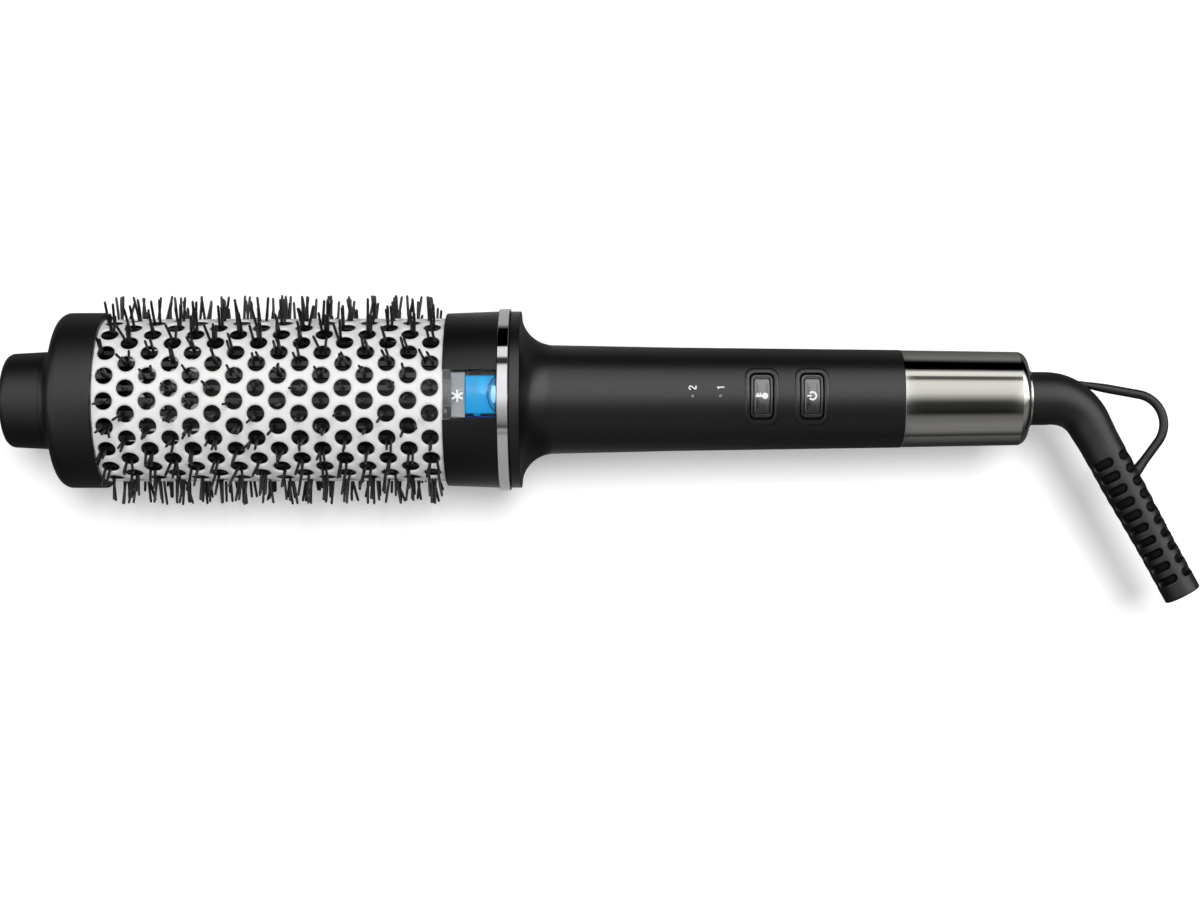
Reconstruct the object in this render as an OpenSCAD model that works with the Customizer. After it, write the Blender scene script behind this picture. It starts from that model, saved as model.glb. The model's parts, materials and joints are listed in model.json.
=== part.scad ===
// Hot air brush: a perforated barrel with bristles, a fan-heater handle and a swivelling cord.
// The brush axis is X. The origin is the middle of the cool tip's end face, +X runs towards
// the cord, and +Z points out of the handle on the side of the keys.

/* [Cool tip] */
// Diameter of the cool tip
tip_d = 29.4; // [28.8:0.1:30]
// Where the cool tip meets the end cap
tip_end = 12.4; // [12:0.1:12.6]
// Rounding of the cool tip's end edge
tip_edge_r = 2.6; // [2.2:0.1:3.6]

/* [End cap] */
// Diameter of the end cap
cap_d = 53.9; // [53.6:0.1:54.4]
// Radius of the hollow curve between the cool tip and the shoulder
cap_hollow_r = 3; // [2.8:0.1:3.3]
// Radius of the shoulder's outer edge
cap_shoulder_r = 3.6; // [3.3:0.1:4]

/* [Barrel] */
// Diameter of the perforated barrel
barrel_d = 50; // [49.6:0.1:50.4]
// Thickness of the barrel's wall
barrel_wall = 0.6; // [0.5:0.05:0.7]
// Where the barrel comes out of the end cap
barrel_start = 30.9; // [30.6:0.1:31.2]
// Where the barrel enters the collar
barrel_end = 135.2; // [134.9:0.1:135.5]
// Diameter of each hole
hole_d = 5.2; // [4.4:0.1:5.6]
// Number of rings of holes
ring_count = 16; // [10:2:16]
// Holes in each ring
holes_per_ring = 20; // [16:1:20]
// Where the first ring of holes is
first_ring_x = 34.4; // [34.2:0.1:34.8]
// Distance between rings
ring_pitch = 6.467; // [6.2:0.001:6.47]
// How far the rows of holes are turned away from the keys, in degrees
hole_turn = 4; // [0:0.1:8.9]

/* [Bristles] */
// Diameter of the brush over its bristles
brush_d = 64.8; // [60:0.2:68]
// Diameter of a bristle
bristle_d = 0.9; // [0.7:0.05:1.1]
// How far each bristle leans along the barrel, in degrees
bristle_lean = 5; // [0:1:8]

/* [Collar] */
// Diameter of the collar at the barrel
collar_front_d = 53.1; // [52.8:0.1:53.6]
// Diameter of the collar at the trim ring
collar_d = 54.3; // [54:0.1:54.6]
// Where the collar ends
collar_end = 151.4; // [151.2:0.1:151.6]
// Width of the ion window
window_w = 14.8; // [14.4:0.1:15]

/* [Trim ring] */
// Diameter of the chrome ring
ring_d = 55.9; // [55.5:0.1:56.4]
// Width of the chrome ring
ring_w = 3.5; // [3.3:0.1:3.7]

/* [Handle] */
// Diameter of the handle's front flange
flange_d = 54.3; // [54:0.1:54.8]
// Width of the front flange
flange_w = 3.2; // [3:0.1:3.4]
// Radius of the curve from the flange to the neck
flare_r = 10; // [9.8:0.1:10.2]
// Diameter of the neck behind the flare
neck_d = 33.9; // [33.8:0.1:34.4]
// Where the handle's taper becomes slower
waist_x = 205; // [203:1:207]
// Diameter of the handle there
waist_d = 31.9; // [31.8:0.1:32.2]
// Where the handle meets the rear sleeve
handle_end = 274.5; // [274.3:0.1:275.3]
// Diameter of the handle there
handle_end_d = 30.1; // [30:0.1:30.3]
// Thickness of the handle's wall
shell_wall = 1.8; // [1.7:0.05:1.85]

/* [Keys] */
// Where the temperature key is along the handle
temperature_key_x = 231; // [230.5:0.1:232.5]
// Where the power key is along the handle
power_key_x = 246.2; // [245.5:0.1:247.5]
// Size of a key along the handle
key_w = 6.9; // [6.4:0.1:7.2]
// Size of a key across the handle
key_l = 13.6; // [13:0.1:14]
// How far a key travels
key_travel = 0.5; // [0.3:0.1:0.5]
// How far the frame around a key stands out of the handle
frame_rise = 0.3; // [0.2:0.05:0.4]
// Where the two indicator lights are along the handle
light_x = [210.1, 218.5]; // [208:0.1:222]

/* [Rear sleeve] */
// Diameter of the sleeve at the handle
sleeve_d = 29.9; // [29.8:0.1:30.1]
// Diameter of the sleeve at its rear end
sleeve_end_d = 28.7; // [28.6:0.1:29]
// Where the sleeve ends
sleeve_end = 313; // [312.8:0.1:313.2]
// Rounding of the sleeve's rear edge
sleeve_edge_r = 2.8; // [2.7:0.1:2.9]

/* [Cord boot] */
// Diameter of the boot where it enters the socket
boot_d = 16.4; // [16.2:0.1:16.5]
// Diameter of the boot in its bend
boot_bend_d = 15.2; // [14.8:0.1:15.6]
// Diameter of the boot where its slots begin
boot_slot_d = 12.4; // [12.2:0.1:12.8]
// Diameter of the boot at its end
boot_end_d = 11.5; // [11.4:0.1:11.8]
// Angle of the boot's bend, in degrees
boot_angle = 61.7; // [45:0.1:75]
// Radius of the bend's centre line
bend_r = 14.5; // [13:0.1:16]
// Where the bend starts
bend_x = 319.9; // [319.6:0.1:320.3]
// Length of the straight leg after the bend
leg_len = 60; // [59:0.1:62]
// Rings of slots on the leg
slot_rings = 10; // [6:1:10]
// Distance between rings of slots
slot_pitch = 4.47; // [4.2:0.01:4.5]
// Diameter of the power cord
cord_d = 6.6; // [6:0.1:6.8]
// Diameter of the hanging loop's strand
loop_d = 2.8; // [2.4:0.1:3]

/* [Motor] */
// Diameter of the motor's can
can_d = 20.4; // [19.8:0.1:20.4]
// Diameter of the impeller
impeller_d = 24.6; // [24:0.1:24.8]
// Number of impeller blades
blade_count = 9; // [7:1:11]

/* [Heater] */
// Outer diameter of the mica tube
mica_d = 35.2; // [34.8:0.1:35.2]
// Turns of the heating coil
coil_turns = 9; // [6:1:9]

/* [Hidden] */

// Facets of the large turned shapes and of the small round ones
fine = 96;
small = 32;
// Room between pieces that are pushed together
gap = 0.05;
// Overlap that makes a cutter pass right through
over = 1;
// How much larger the ball is that joins two stretches of a round rod
joint_swell = 0.12;

soft_black = "#1c1c1d";
nylon_black = "#101011";
white_coat = "#e8e8e4";
bright_chrome = "#d5d6d8";
gunmetal = "#6b6963";
ion_blue = "#0d86d8";
steel = "#b9bcc0";
brass_tone = "#c9a24a";
copper_tone = "#b8693a";
mica_tone = "#b9a06a";
board_green = "#1e6b3a";
cream_plastic = "#d8d2c0";

// ---------------------------------------------------------------- shared shapes

// Turns [radius, x] points about the brush axis
module turned(points) {
  rotate([0, 90, 0])
    rotate_extrude($fn = fine)
      polygon(points);
}

// A round bar along the brush axis
module bar(x0, x1, r, facets = fine) {
  translate([x0, 0, 0])
    rotate([0, 90, 0])
      cylinder(h = x1 - x0, r = r, $fn = facets);
}

// A tube along the brush axis
module pipe(x0, x1, r_out, r_in, facets = fine) {
  difference() {
    bar(x0, x1, r_out, facets);
    bar(x0 - over, x1 + over, r_in, facets);
  }
}

// A ring of round holes or pegs along the brush axis
module bar_circle(count, at_r, x0, x1, r, start = 0) {
  for (i = [0 : count - 1])
    rotate([start + 360 * i / count, 0, 0])
      translate([0, 0, at_r])
        bar(x0, x1, r, small);
}

// An upright round bar
module post(x, y, z0, z1, r) {
  translate([x, y, z0])
    cylinder(h = z1 - z0, r = r, $fn = small);
}

// A box given by its lowest and highest corners
module block(low, high) {
  translate(low)
    cube(high - low);
}

// An upright rounded rectangle, w along X and l along Y
module rounded_prism(x, w, l, r, z0, z1) {
  translate([x, 0, z0])
    linear_extrude(z1 - z0)
      union() {
        square([w - 2 * r, l], center = true);
        square([w, l - 2 * r], center = true);
        for (sx = [-1, 1], sy = [-1, 1])
          translate([sx * (w / 2 - r), sy * (l / 2 - r)])
            circle(r = r, $fn = small);
      }
}

// An eight-sided wire that follows a list of points; its stretches overlap at each corner
module strand(points, r) {
  for (i = [0 : len(points) - 2]) {
    step = points[i + 1] - points[i];
    into_next = i < len(points) - 2 ? 0.3 * r : 0;
    into_last = i > 0 ? 0.3 * r : 0;
    translate(points[i])
      rotate([0, acos(step.z / norm(step)), atan2(step.y, step.x)])
        translate([0, 0, -into_last])
          cylinder(h = norm(step) + into_last + into_next, r = r, $fn = 8);
  }
}

// Points of an arc as [radius, x], by the arc's centre and its start and end angles,
// where 0 degrees points away from the axis and 90 degrees towards the cord
function arc(centre, r, a0, a1, steps = 8) = [
  for (i = [0 : steps])
    let (a = a0 + (a1 - a0) * i / steps)
      [centre[0] + r * cos(a), centre[1] + r * sin(a)]
];

function mix(a, b, t) = a + (b - a) * t;

// ---------------------------------------------------------------- derived sizes

tip_r = tip_d / 2;
cap_r = cap_d / 2;
barrel_r = barrel_d / 2;
barrel_bore_r = barrel_r - barrel_wall;
// The barrel's ends sit this deep in the end cap and in the collar
barrel_seat = 2.4;
barrel_front = barrel_start - barrel_seat;
barrel_back = barrel_end + barrel_seat;
// Bore of the end cap and of the collar behind the barrel's ends
seat_r = barrel_bore_r - 0.8;

strip_top_r = barrel_bore_r - 0.1;
strip_h = 1;
strip_w = 1.6;
strip_count = 2 * holes_per_ring;
strip_ring_w = 3.1;
strip_ring_r = strip_top_r - strip_h - 1.5;

ring_start = collar_end + gap;
ring_end = collar_end + ring_w;
ring_seat_r = 24.9;
plate_bore_r = 17.8;
plate_front = ring_start + 0.1;
plate_end = 157.5;
flange_r = flange_d / 2;
flange_end = ring_end + flange_w;
flare_end = flange_end + flare_r;

// The shell's outer radius behind the flare
function handle_r(x) = x < waist_x
  ? mix(neck_d, waist_d, (x - flare_end) / (waist_x - flare_end)) / 2
  : mix(waist_d, handle_end_d, (x - waist_x) / (handle_end - waist_x)) / 2;

// The two shells meet on the plane z = 0, with this much room to each side of it
split_gap = 0.03;
spigot_r = 13.45;
spigot_bore_r = 12;
spigot_end = 308;

// Heights of the parts stacked under the keys
board_z = 2.4;
board_top = 4;
switch_top = 6.9;
plunger_top = 7.45;
key_flange_z = 9.2;
key_flange_top = 10;
key_room = 0.2;

motor_front = 171;
motor_back = 195;
shaft_r = 1;
shaft_bore_r = shaft_r + 0.02;
bearing_r = 2.6;
duct_r = 13.25;
duct_bore_r = 12.6;
duct_front = 159;
duct_back = 198;

base_front = 126;
base_web = 134;
base_r = mica_d / 2 + 1.4;
base_bore_r = 13.6;

tray_floor = 17;
tray_half_w = window_w / 2 + 0.05;

socket_r = 9.2;
socket_bore_r = 8.35;
socket_wall = 298;
socket_end = 314.3;
plug_r = 3.95;
wall_bore_r = 4;

// ---------------------------------------------------------------- front end

// Outer line of the cool tip and the end cap's face: a hollow curve, a steep cone and a shoulder
hollow_x = tip_end - 0.3;
hollow_turn = 75;
shoulder_r0 = cap_r - cap_shoulder_r * (1 - cos(hollow_turn));
hollow_end = [
  tip_r + cap_hollow_r * (1 - cos(hollow_turn)),
  hollow_x + cap_hollow_r * sin(hollow_turn)
];
shoulder_x0 = hollow_end[1] + (shoulder_r0 - hollow_end[0]) / tan(hollow_turn);
shoulder_x1 = shoulder_x0 + cap_shoulder_r * sin(hollow_turn);
// How far the hollow curve has turned where the two pieces part
parting_turn = asin((tip_end - hollow_x) / cap_hollow_r);
hollow_centre = [tip_r + cap_hollow_r, hollow_x];

module cool_tip() {
  wall = 2.2;
  color(soft_black)
    difference() {
      turned(concat(
        [[0, 0]],
        arc([tip_r - tip_edge_r, tip_edge_r], tip_edge_r, -90, 0),
        arc(hollow_centre, cap_hollow_r, 180, 180 - parting_turn, 5),
        [[0, tip_end]]
      ));
      pipe(wall, tip_end + over, tip_r - wall, 3.6);
      // Pilot hole for the tip screw
      bar(5.5, tip_end + over, 1.55, small);
    }
}

module tip_screw() {
  head_x = tip_end + 2.05 + gap;
  color(steel)
    difference() {
      union() {
        bar(6, head_x, 1.5, small);
        bar(head_x, head_x + 1.7, 2.9, small);
      }
      // Cross recess
      block([head_x + 0.9, -1.6, -0.35], [head_x + 3, 1.6, 0.35]);
      block([head_x + 0.9, -0.35, -1.6], [head_x + 3, 0.35, 1.6]);
    }
}

module end_cap() {
  lip_r = 0.6;
  color(soft_black)
    difference() {
      turned(concat(
        [[0, tip_end + gap]],
        arc(hollow_centre, cap_hollow_r, 180 - parting_turn - 1, 180 - hollow_turn, 5),
        arc([cap_r - cap_shoulder_r, shoulder_x1], cap_shoulder_r, -hollow_turn, 0),
        arc([cap_r - lip_r, barrel_start - lip_r], lip_r, 0, 90, 4),
        [[0, barrel_start]]
      ));
      // Hollow inside, with a step that stops the barrel
      turned([
        [0, tip_end + 2.05], [13, tip_end + 2.05], [17.8, 17.5], [seat_r, 20.5],
        [seat_r, barrel_front], [barrel_r + gap, barrel_front],
        [barrel_r + gap, barrel_start + over], [0, barrel_start + over]
      ]);
      bar(tip_end - over, tip_end + 4, 1.7, small);
    }
}

// A ring inside the barrel with one notch for each bristle strip
module strip_ring(x0) {
  color(nylon_black)
    difference() {
      pipe(x0, x0 + strip_ring_w, strip_top_r, strip_ring_r);
      for (i = [0 : strip_count - 1])
        rotate([hole_turn + 360 * i / strip_count, 0, 0])
          translate([x0 - over, -strip_w / 2 - gap, strip_top_r - strip_h - gap])
            cube([strip_ring_w + 2 * over, strip_w + 2 * gap, strip_h + over]);
    }
}

module front_strip_ring() {
  strip_ring(barrel_front + gap);
}

module rear_strip_ring() {
  strip_ring(barrel_back - gap - strip_ring_w);
}

module barrel() {
  color(white_coat)
    difference() {
      pipe(barrel_front + gap, barrel_back - gap, barrel_r, barrel_bore_r);
      for (ring = [0 : ring_count - 1], i = [0 : holes_per_ring - 1])
        rotate([hole_turn + 360 * (i + (ring % 2) / 2) / holes_per_ring, 0, 0])
          translate([first_ring_x + ring * ring_pitch, 0, barrel_bore_r - over])
            cylinder(h = barrel_wall + 2 * over, d = hole_d, $fn = small);
    }
}

// One strip and its bristles, two to a hole, in every second ring from first_ring on
module bristle_strip(first_ring) {
  root_r = strip_top_r - strip_h / 2;
  strip_x0 = barrel_front + 2 * gap;
  strip_len = barrel_back - barrel_front - 4 * gap;
  reach = (brush_d / 2 - root_r) / cos(bristle_lean);
  translate([strip_x0, -strip_w / 2, strip_top_r - strip_h])
    cube([strip_len, strip_w, strip_h]);
  for (ring = [first_ring : 2 : ring_count - 1], side = [-1, 1])
    translate([first_ring_x + ring * ring_pitch + side, 0, root_r])
      rotate([0, side * bristle_lean, 0])
        cylinder(h = reach, d = bristle_d, $fn = 16);
}

module bristle_strips() {
  color(nylon_black)
    for (i = [0 : strip_count - 1])
      rotate([hole_turn + 360 * i / strip_count, 0, 0])
        bristle_strip(i % 2);
}

// ---------------------------------------------------------------- heater

heater_front = 66;
frame_half_w = 15.5;
frame_t = 0.8;

module mica_tube() {
  color(mica_tone)
    pipe(62, base_web - gap, mica_d / 2, mica_d / 2 - 0.6);
}

// Two mica plates that slot into each other and carry the coil
module heater_frame() {
  frame_len = base_web - gap - heater_front;
  half_t = frame_t / 2;
  slot_room = half_t + gap;
  middle = heater_front + frame_len / 2;
  color(mica_tone) {
    difference() {
      block([heater_front, -half_t, -frame_half_w], [base_web - gap, half_t, frame_half_w]);
      block([heater_front - over, -over, -slot_room], [middle + gap, over, slot_room]);
    }
    difference() {
      block([heater_front, -frame_half_w, -half_t], [base_web - gap, frame_half_w, half_t]);
      block([middle - gap, -slot_room, -over], [base_web, slot_room, over]);
    }
  }
}

// A heating wire wound round the edges of the frame
module heater_coil() {
  wire_r = 0.35;
  coil_r = frame_half_w + 0.7;
  steps = 24 * coil_turns;
  sides = 6;
  pitch = 52 / coil_turns;
  points = [
    for (i = [0 : steps], s = [0 : sides - 1])
      let (
        turn = 360 * i / 24,
        around = 360 * s / sides,
        r = coil_r + wire_r * cos(around)
      )
        [heater_front + 6 + pitch * i / 24 + wire_r * sin(around), r * sin(turn), r * cos(turn)]
  ];
  skin = [
    for (i = [0 : steps - 1], s = [0 : sides - 1])
      let (next = (s + 1) % sides)
        [i * sides + s, i * sides + next, (i + 1) * sides + next, (i + 1) * sides + s]
  ];
  ends = [
    [for (s = [sides - 1 : -1 : 0]) s],
    [for (s = [0 : sides - 1]) steps * sides + s]
  ];
  color(steel)
    polyhedron(points, concat(skin, ends));
}

// A heat-proof socket that carries the mica tube and leads the air into it
module heater_base() {
  color(cream_plastic)
    turned([
      [mica_d / 2 + 0.1, base_front], [base_r, base_front], [base_r, base_web + 2],
      [base_bore_r + 1.6, base_web + 2], [base_bore_r + 1.6, ring_start + 0.6],
      [plate_bore_r - 0.1, ring_start + 0.6], [plate_bore_r - 0.1, ring_end],
      [base_bore_r, ring_end], [base_bore_r, base_web], [mica_d / 2 + 0.1, base_web]
    ]);
}

module thermostat() {
  color(steel)
    translate([120, frame_t / 2 + gap, 7.5])
      rotate([-90, 0, 0]) {
        cylinder(h = 2.2, r = 4, $fn = small);
        translate([0, 0, 2.2])
          cylinder(h = 1, r = 2.6, $fn = small);
      }
}

module thermal_fuse() {
  color(cream_plastic)
    translate([0, 2, -7]) {
      bar(104, 114, 1.4, small);
      bar(98, 120, 0.4, small);
    }
}

// ---------------------------------------------------------------- collar and ion emitter

module collar() {
  edge = 0.5;
  collar_r = collar_d / 2;
  screw_r = 21.3;
  color(soft_black)
    difference() {
      union() {
        difference() {
          turned(concat(
            [[barrel_r + gap, barrel_end]],
            arc([collar_front_d / 2 - edge, barrel_end + edge], edge, -90, 0, 4),
            [
              [collar_r, collar_end], [18.9, collar_end], [18.9, collar_end - 2],
              [seat_r, collar_end - 2], [seat_r, barrel_back], [barrel_r + gap, barrel_back]
            ]
          ));
          // Opening for the ion window
          block([barrel_end - over, -tray_half_w, tray_floor], [collar_end + over, tray_half_w, 30]);
        }
        // Tray under the window
        difference() {
          block([barrel_back + gap, -9, tray_floor - 1.6], [collar_end, 9, 22.6]);
          block([barrel_back - over, -tray_half_w, tray_floor], [collar_end + over, tray_half_w, 30]);
        }
      }
      bar_circle(3, screw_r, collar_end - 3, collar_end + over, 1.45, 60);
    }
}

module collar_screws() {
  screw_r = 21.3;
  head_x = collar_end - 2 - gap;
  color(steel) {
    bar_circle(3, screw_r, head_x - 1.6, head_x, 2.2, 60);
    bar_circle(3, screw_r, head_x, 156.5, 1.25, 60);
  }
}

module ion_window() {
  color("white", 0.3)
    intersection() {
      turned([
        [barrel_r + gap, barrel_end], [collar_front_d / 2 - 0.15, barrel_end],
        [collar_d / 2, collar_end], [barrel_r + gap, collar_end]
      ]);
      block([barrel_end - over, -window_w / 2, 20], [collar_end + over, window_w / 2, 30]);
    }
}

module ion_emitter_block() {
  half_w = 5.7;
  front = 142;
  color(ion_blue)
    difference() {
      intersection() {
        block([front, -half_w, tray_floor + gap], [collar_end - 0.2, half_w, 30]);
        bar(front - over, collar_end + over, barrel_r - 0.3);
      }
      // Round lens pocket at the rear end
      post(collar_end, 0, 23.6, 30, 3.4);
    }
}

module ion_carrier() {
  half_w = 6.9;
  front = barrel_back + 2 * gap;
  color("silver")
    difference() {
      block([front, -half_w, tray_floor + gap], [142 - gap, half_w, 23.4]);
      block([front - over, -half_w + 1.2, 20.9], [142 - 1.2, half_w - 1.2, 30]);
      translate([0, 0, 20])
        bar(front - over, 142 + over, 0.45, small);
    }
}

module ion_needle() {
  color(steel)
    translate([0, 0, 20]) {
      bar(134, 141.5, 0.4, small);
      translate([134, 0, 0])
        rotate([0, -90, 0])
          cylinder(h = 1.8, r1 = 0.4, r2 = 0.08, $fn = small);
    }
}

module chrome_ring() {
  r = ring_d / 2;
  crown = 0.35;
  edge = 0.4;
  color(bright_chrome)
    turned([
      [ring_seat_r + gap, ring_start], [r - crown - edge, ring_start],
      [r - crown, ring_start + edge], [r, (ring_start + ring_end) / 2],
      [r - crown, ring_end - gap - edge], [r - crown - edge, ring_end - gap],
      [ring_seat_r + gap, ring_end - gap]
    ]);
}

// ---------------------------------------------------------------- handle

neck_r = neck_d / 2;
screw_x = [203, 268];
pillar_x = [212, 258];
pillar_y = 8;

// The whole handle as one solid, before it is hollowed and split
module handle_outline() {
  turned(concat(
    [
      [0, plate_front], [ring_seat_r, plate_front], [ring_seat_r, ring_end],
      [flange_r - 0.5, ring_end], [flange_r, ring_end + 0.5], [flange_r, flange_end - 0.4]
    ],
    arc([neck_r + flare_r, flare_end], flare_r, -90, -180, 12),
    [
      [waist_d / 2, waist_x], [handle_end_d / 2, handle_end], [spigot_r, handle_end],
      [spigot_r, spigot_end], [0, spigot_end]
    ]
  ));
}

module handle_cavity() {
  turned([
    [0, plate_front - over], [plate_bore_r, plate_front - over], [plate_bore_r, plate_end],
    [16.6, 161.5], [neck_r - shell_wall, flare_end], [waist_d / 2 - shell_wall, waist_x],
    [handle_end_d / 2 - shell_wall, handle_end - 4], [spigot_bore_r, handle_end - 3],
    [spigot_bore_r, spigot_end + over], [0, spigot_end + over]
  ]);
}

// Everything above (side 1) or below (side -1) the plane where the shells meet
module half_space(side) {
  translate([100, -50, side > 0 ? split_gap : -100 - split_gap])
    cube([250, 100, 100]);
}

module key_hole(x) {
  rounded_prism(x, key_w + 2 * key_room, key_l + 2 * key_room, 1.7, key_flange_top, 30);
}

// The raised frame around a key
module key_frame(x) {
  intersection() {
    rounded_prism(x, key_w + 3.5, key_l + 4.2, 3.2, key_flange_top, 30);
    bar(x - 9, x + 9, handle_r(x) + frame_rise);
  }
}

module handle_top_shell() {
  color(soft_black)
    difference() {
      union() {
        difference() {
          union() {
            intersection() {
              handle_outline();
              half_space(1);
            }
            key_frame(temperature_key_x);
            key_frame(power_key_x);
          }
          handle_cavity();
        }
        // Screw posts
        for (x = screw_x)
          post(x, 0, 0.5, waist_d / 2 - 1.4, 2.6);
      }
      key_hole(temperature_key_x);
      key_hole(power_key_x);
      for (x = light_x)
        post(x, 0, 10, 30, 0.55);
      for (x = screw_x)
        post(x, 0, -over, 9, 1.3);
      // Pilot holes of the two upper collar screws
      bar_circle(3, 21.3, plate_front - over, 157, 1.3, 60);
      // Groove for the ion lead
      block([plate_front - over, -0.9, 17], [159, 0.9, 19.4]);
    }
}

// A pillar that carries the control board, grown out of the bottom shell's wall
module board_pillar(x, y) {
  intersection() {
    post(x, y, -20, board_z - gap, 1.9);
    bar(x - 3, x + 3, handle_r(x) - shell_wall / 2);
  }
}

module handle_bottom_shell() {
  color(soft_black)
    difference() {
      union() {
        intersection() {
          union() {
            difference() {
              handle_outline();
              handle_cavity();
            }
            for (x = screw_x)
              post(x, 0, -20, -0.5, 3.5);
          }
          handle_outline();
          half_space(-1);
        }
        for (x = pillar_x, side = [-1, 1])
          board_pillar(x, side * pillar_y);
      }
      // Pilot holes of the board screws
      for (x = pillar_x, side = [-1, 1])
        post(x, side * pillar_y, -3.2, board_z + over, 1.05);
      for (x = screw_x) {
        post(x, 0, -30, -10, 3);
        post(x, 0, -30, over, 1.5);
      }
      bar_circle(3, 21.3, plate_front - over, 157, 1.3, 60);
    }
}

module shell_screws() {
  color(steel)
    for (x = screw_x) {
      difference() {
        post(x, 0, -12, -10 - gap, 2.7);
        block([x - 1.7, -0.35, -13], [x + 1.7, 0.35, -11.1]);
        block([x - 0.35, -1.7, -13], [x + 0.35, 1.7, -11.1]);
      }
      post(x, 0, -10.2, 8, 1.25);
    }
}

// ---------------------------------------------------------------- keys, lights and electronics

module key(x) {
  color(soft_black) {
    intersection() {
      rounded_prism(x, key_w, key_l, 1.5, key_flange_top - 0.2, 30);
      bar(x - 9, x + 9, handle_r(x) + 0.1);
    }
    intersection() {
      rounded_prism(x, key_w - 2.2, key_l - 2.8, 0.6, key_flange_top, 30);
      bar(x - 9, x + 9, handle_r(x) + 0.35);
    }
    rounded_prism(x, key_w + 1.4, key_l + 1.6, 1, key_flange_z, key_flange_top);
    post(x, 0, plunger_top + gap, key_flange_z + 0.1, 1.2);
  }
}

module plunger(x) {
  color(cream_plastic)
    post(x, 0, 6.4, plunger_top, 1.7);
}

module power_button() {
  key(power_key_x);
}

module power_plunger() {
  plunger(power_key_x);
}

module temperature_button() {
  key(temperature_key_x);
}

module temperature_plunger() {
  plunger(temperature_key_x);
}

module tactile_switches() {
  color("black")
    for (x = [temperature_key_x, power_key_x])
      difference() {
        block([x - 3, -3, board_top + gap], [x + 3, 3, switch_top]);
        post(x, 0, 6.4 - key_travel - 0.2, 10, 1.75);
      }
}

module light_pipes() {
  color("white", 0.6)
    for (x = light_x) {
      post(x, 0, 5.3, handle_r(x), 0.5);
      post(x, 0, 5.3, 6.3, 1.2);
    }
}

module indicator_leds() {
  color("white")
    for (x = light_x)
      block([x - 0.8, -0.6, board_top + gap], [x + 0.8, 0.6, 5.2]);
}

module control_board() {
  color(board_green)
    difference() {
      block([207, -10.5, board_z], [263, 10.5, board_top]);
      for (x = pillar_x, side = [-1, 1])
        post(x, side * pillar_y, 0, 10, 1.25);
    }
}

// Each board screw clamps the board to a pillar of the bottom shell
module board_screws() {
  color(steel)
    for (x = pillar_x, side = [-1, 1]) {
      post(x, side * pillar_y, board_top + gap, board_top + 1.2, 1.9);
      post(x, side * pillar_y, -3, board_top + 0.1, 1);
    }
}

module board_components() {
  under = board_z - gap;
  color("dimgray") {
    // Smoothing capacitor
    translate([0, 0, under - 4.1])
      bar(241, 252, 4, small);
    // Rectifier and triac under the board
    block([215, -3, under - 4], [219, 3, under]);
    block([254, -4.5, under - 6], [256.5, 4.5, under]);
    // Controller chip on top
    block([221.5, -9.5, board_top + gap], [226.5, -5.5, board_top + 1.5]);
  }
}

module ion_generator() {
  color(ion_blue)
    block([221.5, -6.5, -7], [237, 6.5, board_z - gap]);
}

// ---------------------------------------------------------------- motor and fan

module motor_can() {
  color(steel)
    difference() {
      bar(motor_front, motor_back, can_d / 2);
      bar(motor_front + 0.8, motor_back + over, can_d / 2 - 0.8);
      bar(motor_front - over, motor_front + 2, bearing_r + gap, small);
    }
}

module motor_magnets() {
  color("dimgray")
    difference() {
      pipe(motor_front + 3, motor_back - 5, can_d / 2 - 0.8 - gap, 8.2);
      block([motor_front, -12, -3], [motor_back, 12, 3]);
    }
}

module motor_end_bell() {
  color(cream_plastic)
    difference() {
      union() {
        bar(motor_back + gap, motor_back + 1.5, can_d / 2);
        bar(motor_back + 1.4, motor_back + 4, 4.2, small);
        for (side = [0, 180])
          rotate([side, 0, 0])
            block([motor_back - 4.1, -1.9, 3.9], [motor_back + 0.2, 1.9, 7.4]);
      }
      bar(motor_back - over, motor_back + 5, bearing_r + gap, small);
      for (side = [0, 180])
        rotate([side, 0, 0])
          block([motor_back - 3.75, -1.25, 3], [motor_back - 0.85, 1.25, 6.7]);
    }
}

module carbon_brushes() {
  color("dimgray")
    for (side = [0, 180])
      rotate([side, 0, 0])
        block([motor_back - 3.7, -1.2, 3.05], [motor_back - 0.9, 1.2, 6.6]);
}

module shaft_bearings() {
  color(brass_tone) {
    pipe(motor_front - 0.8, motor_front + 3, bearing_r, shaft_r + 0.04, small);
    pipe(motor_back + 0.5, motor_back + 4, bearing_r, shaft_r + 0.04, small);
  }
}

armature_x = [176, 189];
winding_r = 6.2;

module armature() {
  color("slategray")
    difference() {
      bar(armature_x[0], armature_x[1], 7.9);
      bar(armature_x[0] - over, armature_x[1] + over, shaft_bore_r, small);
      bar_circle(5, winding_r, armature_x[0] - over, armature_x[1] + over, 1.5);
    }
}

module rotor_windings() {
  color(copper_tone) {
    pipe(armature_x[0] - 1.6, armature_x[0] - 0.1, 7.7, 3);
    pipe(armature_x[1] + 0.1, armature_x[1] + 1.6, 7.7, 3);
    bar_circle(5, winding_r, armature_x[0] - 0.5, armature_x[1] + 0.5, 1.4);
  }
}

module commutator() {
  color(copper_tone)
    pipe(motor_back - 4.2, motor_back - 0.4, 3, shaft_bore_r, small);
}

module motor_shaft() {
  color(steel)
    bar(160.8, motor_back + 4.4, shaft_r, small);
}

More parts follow.
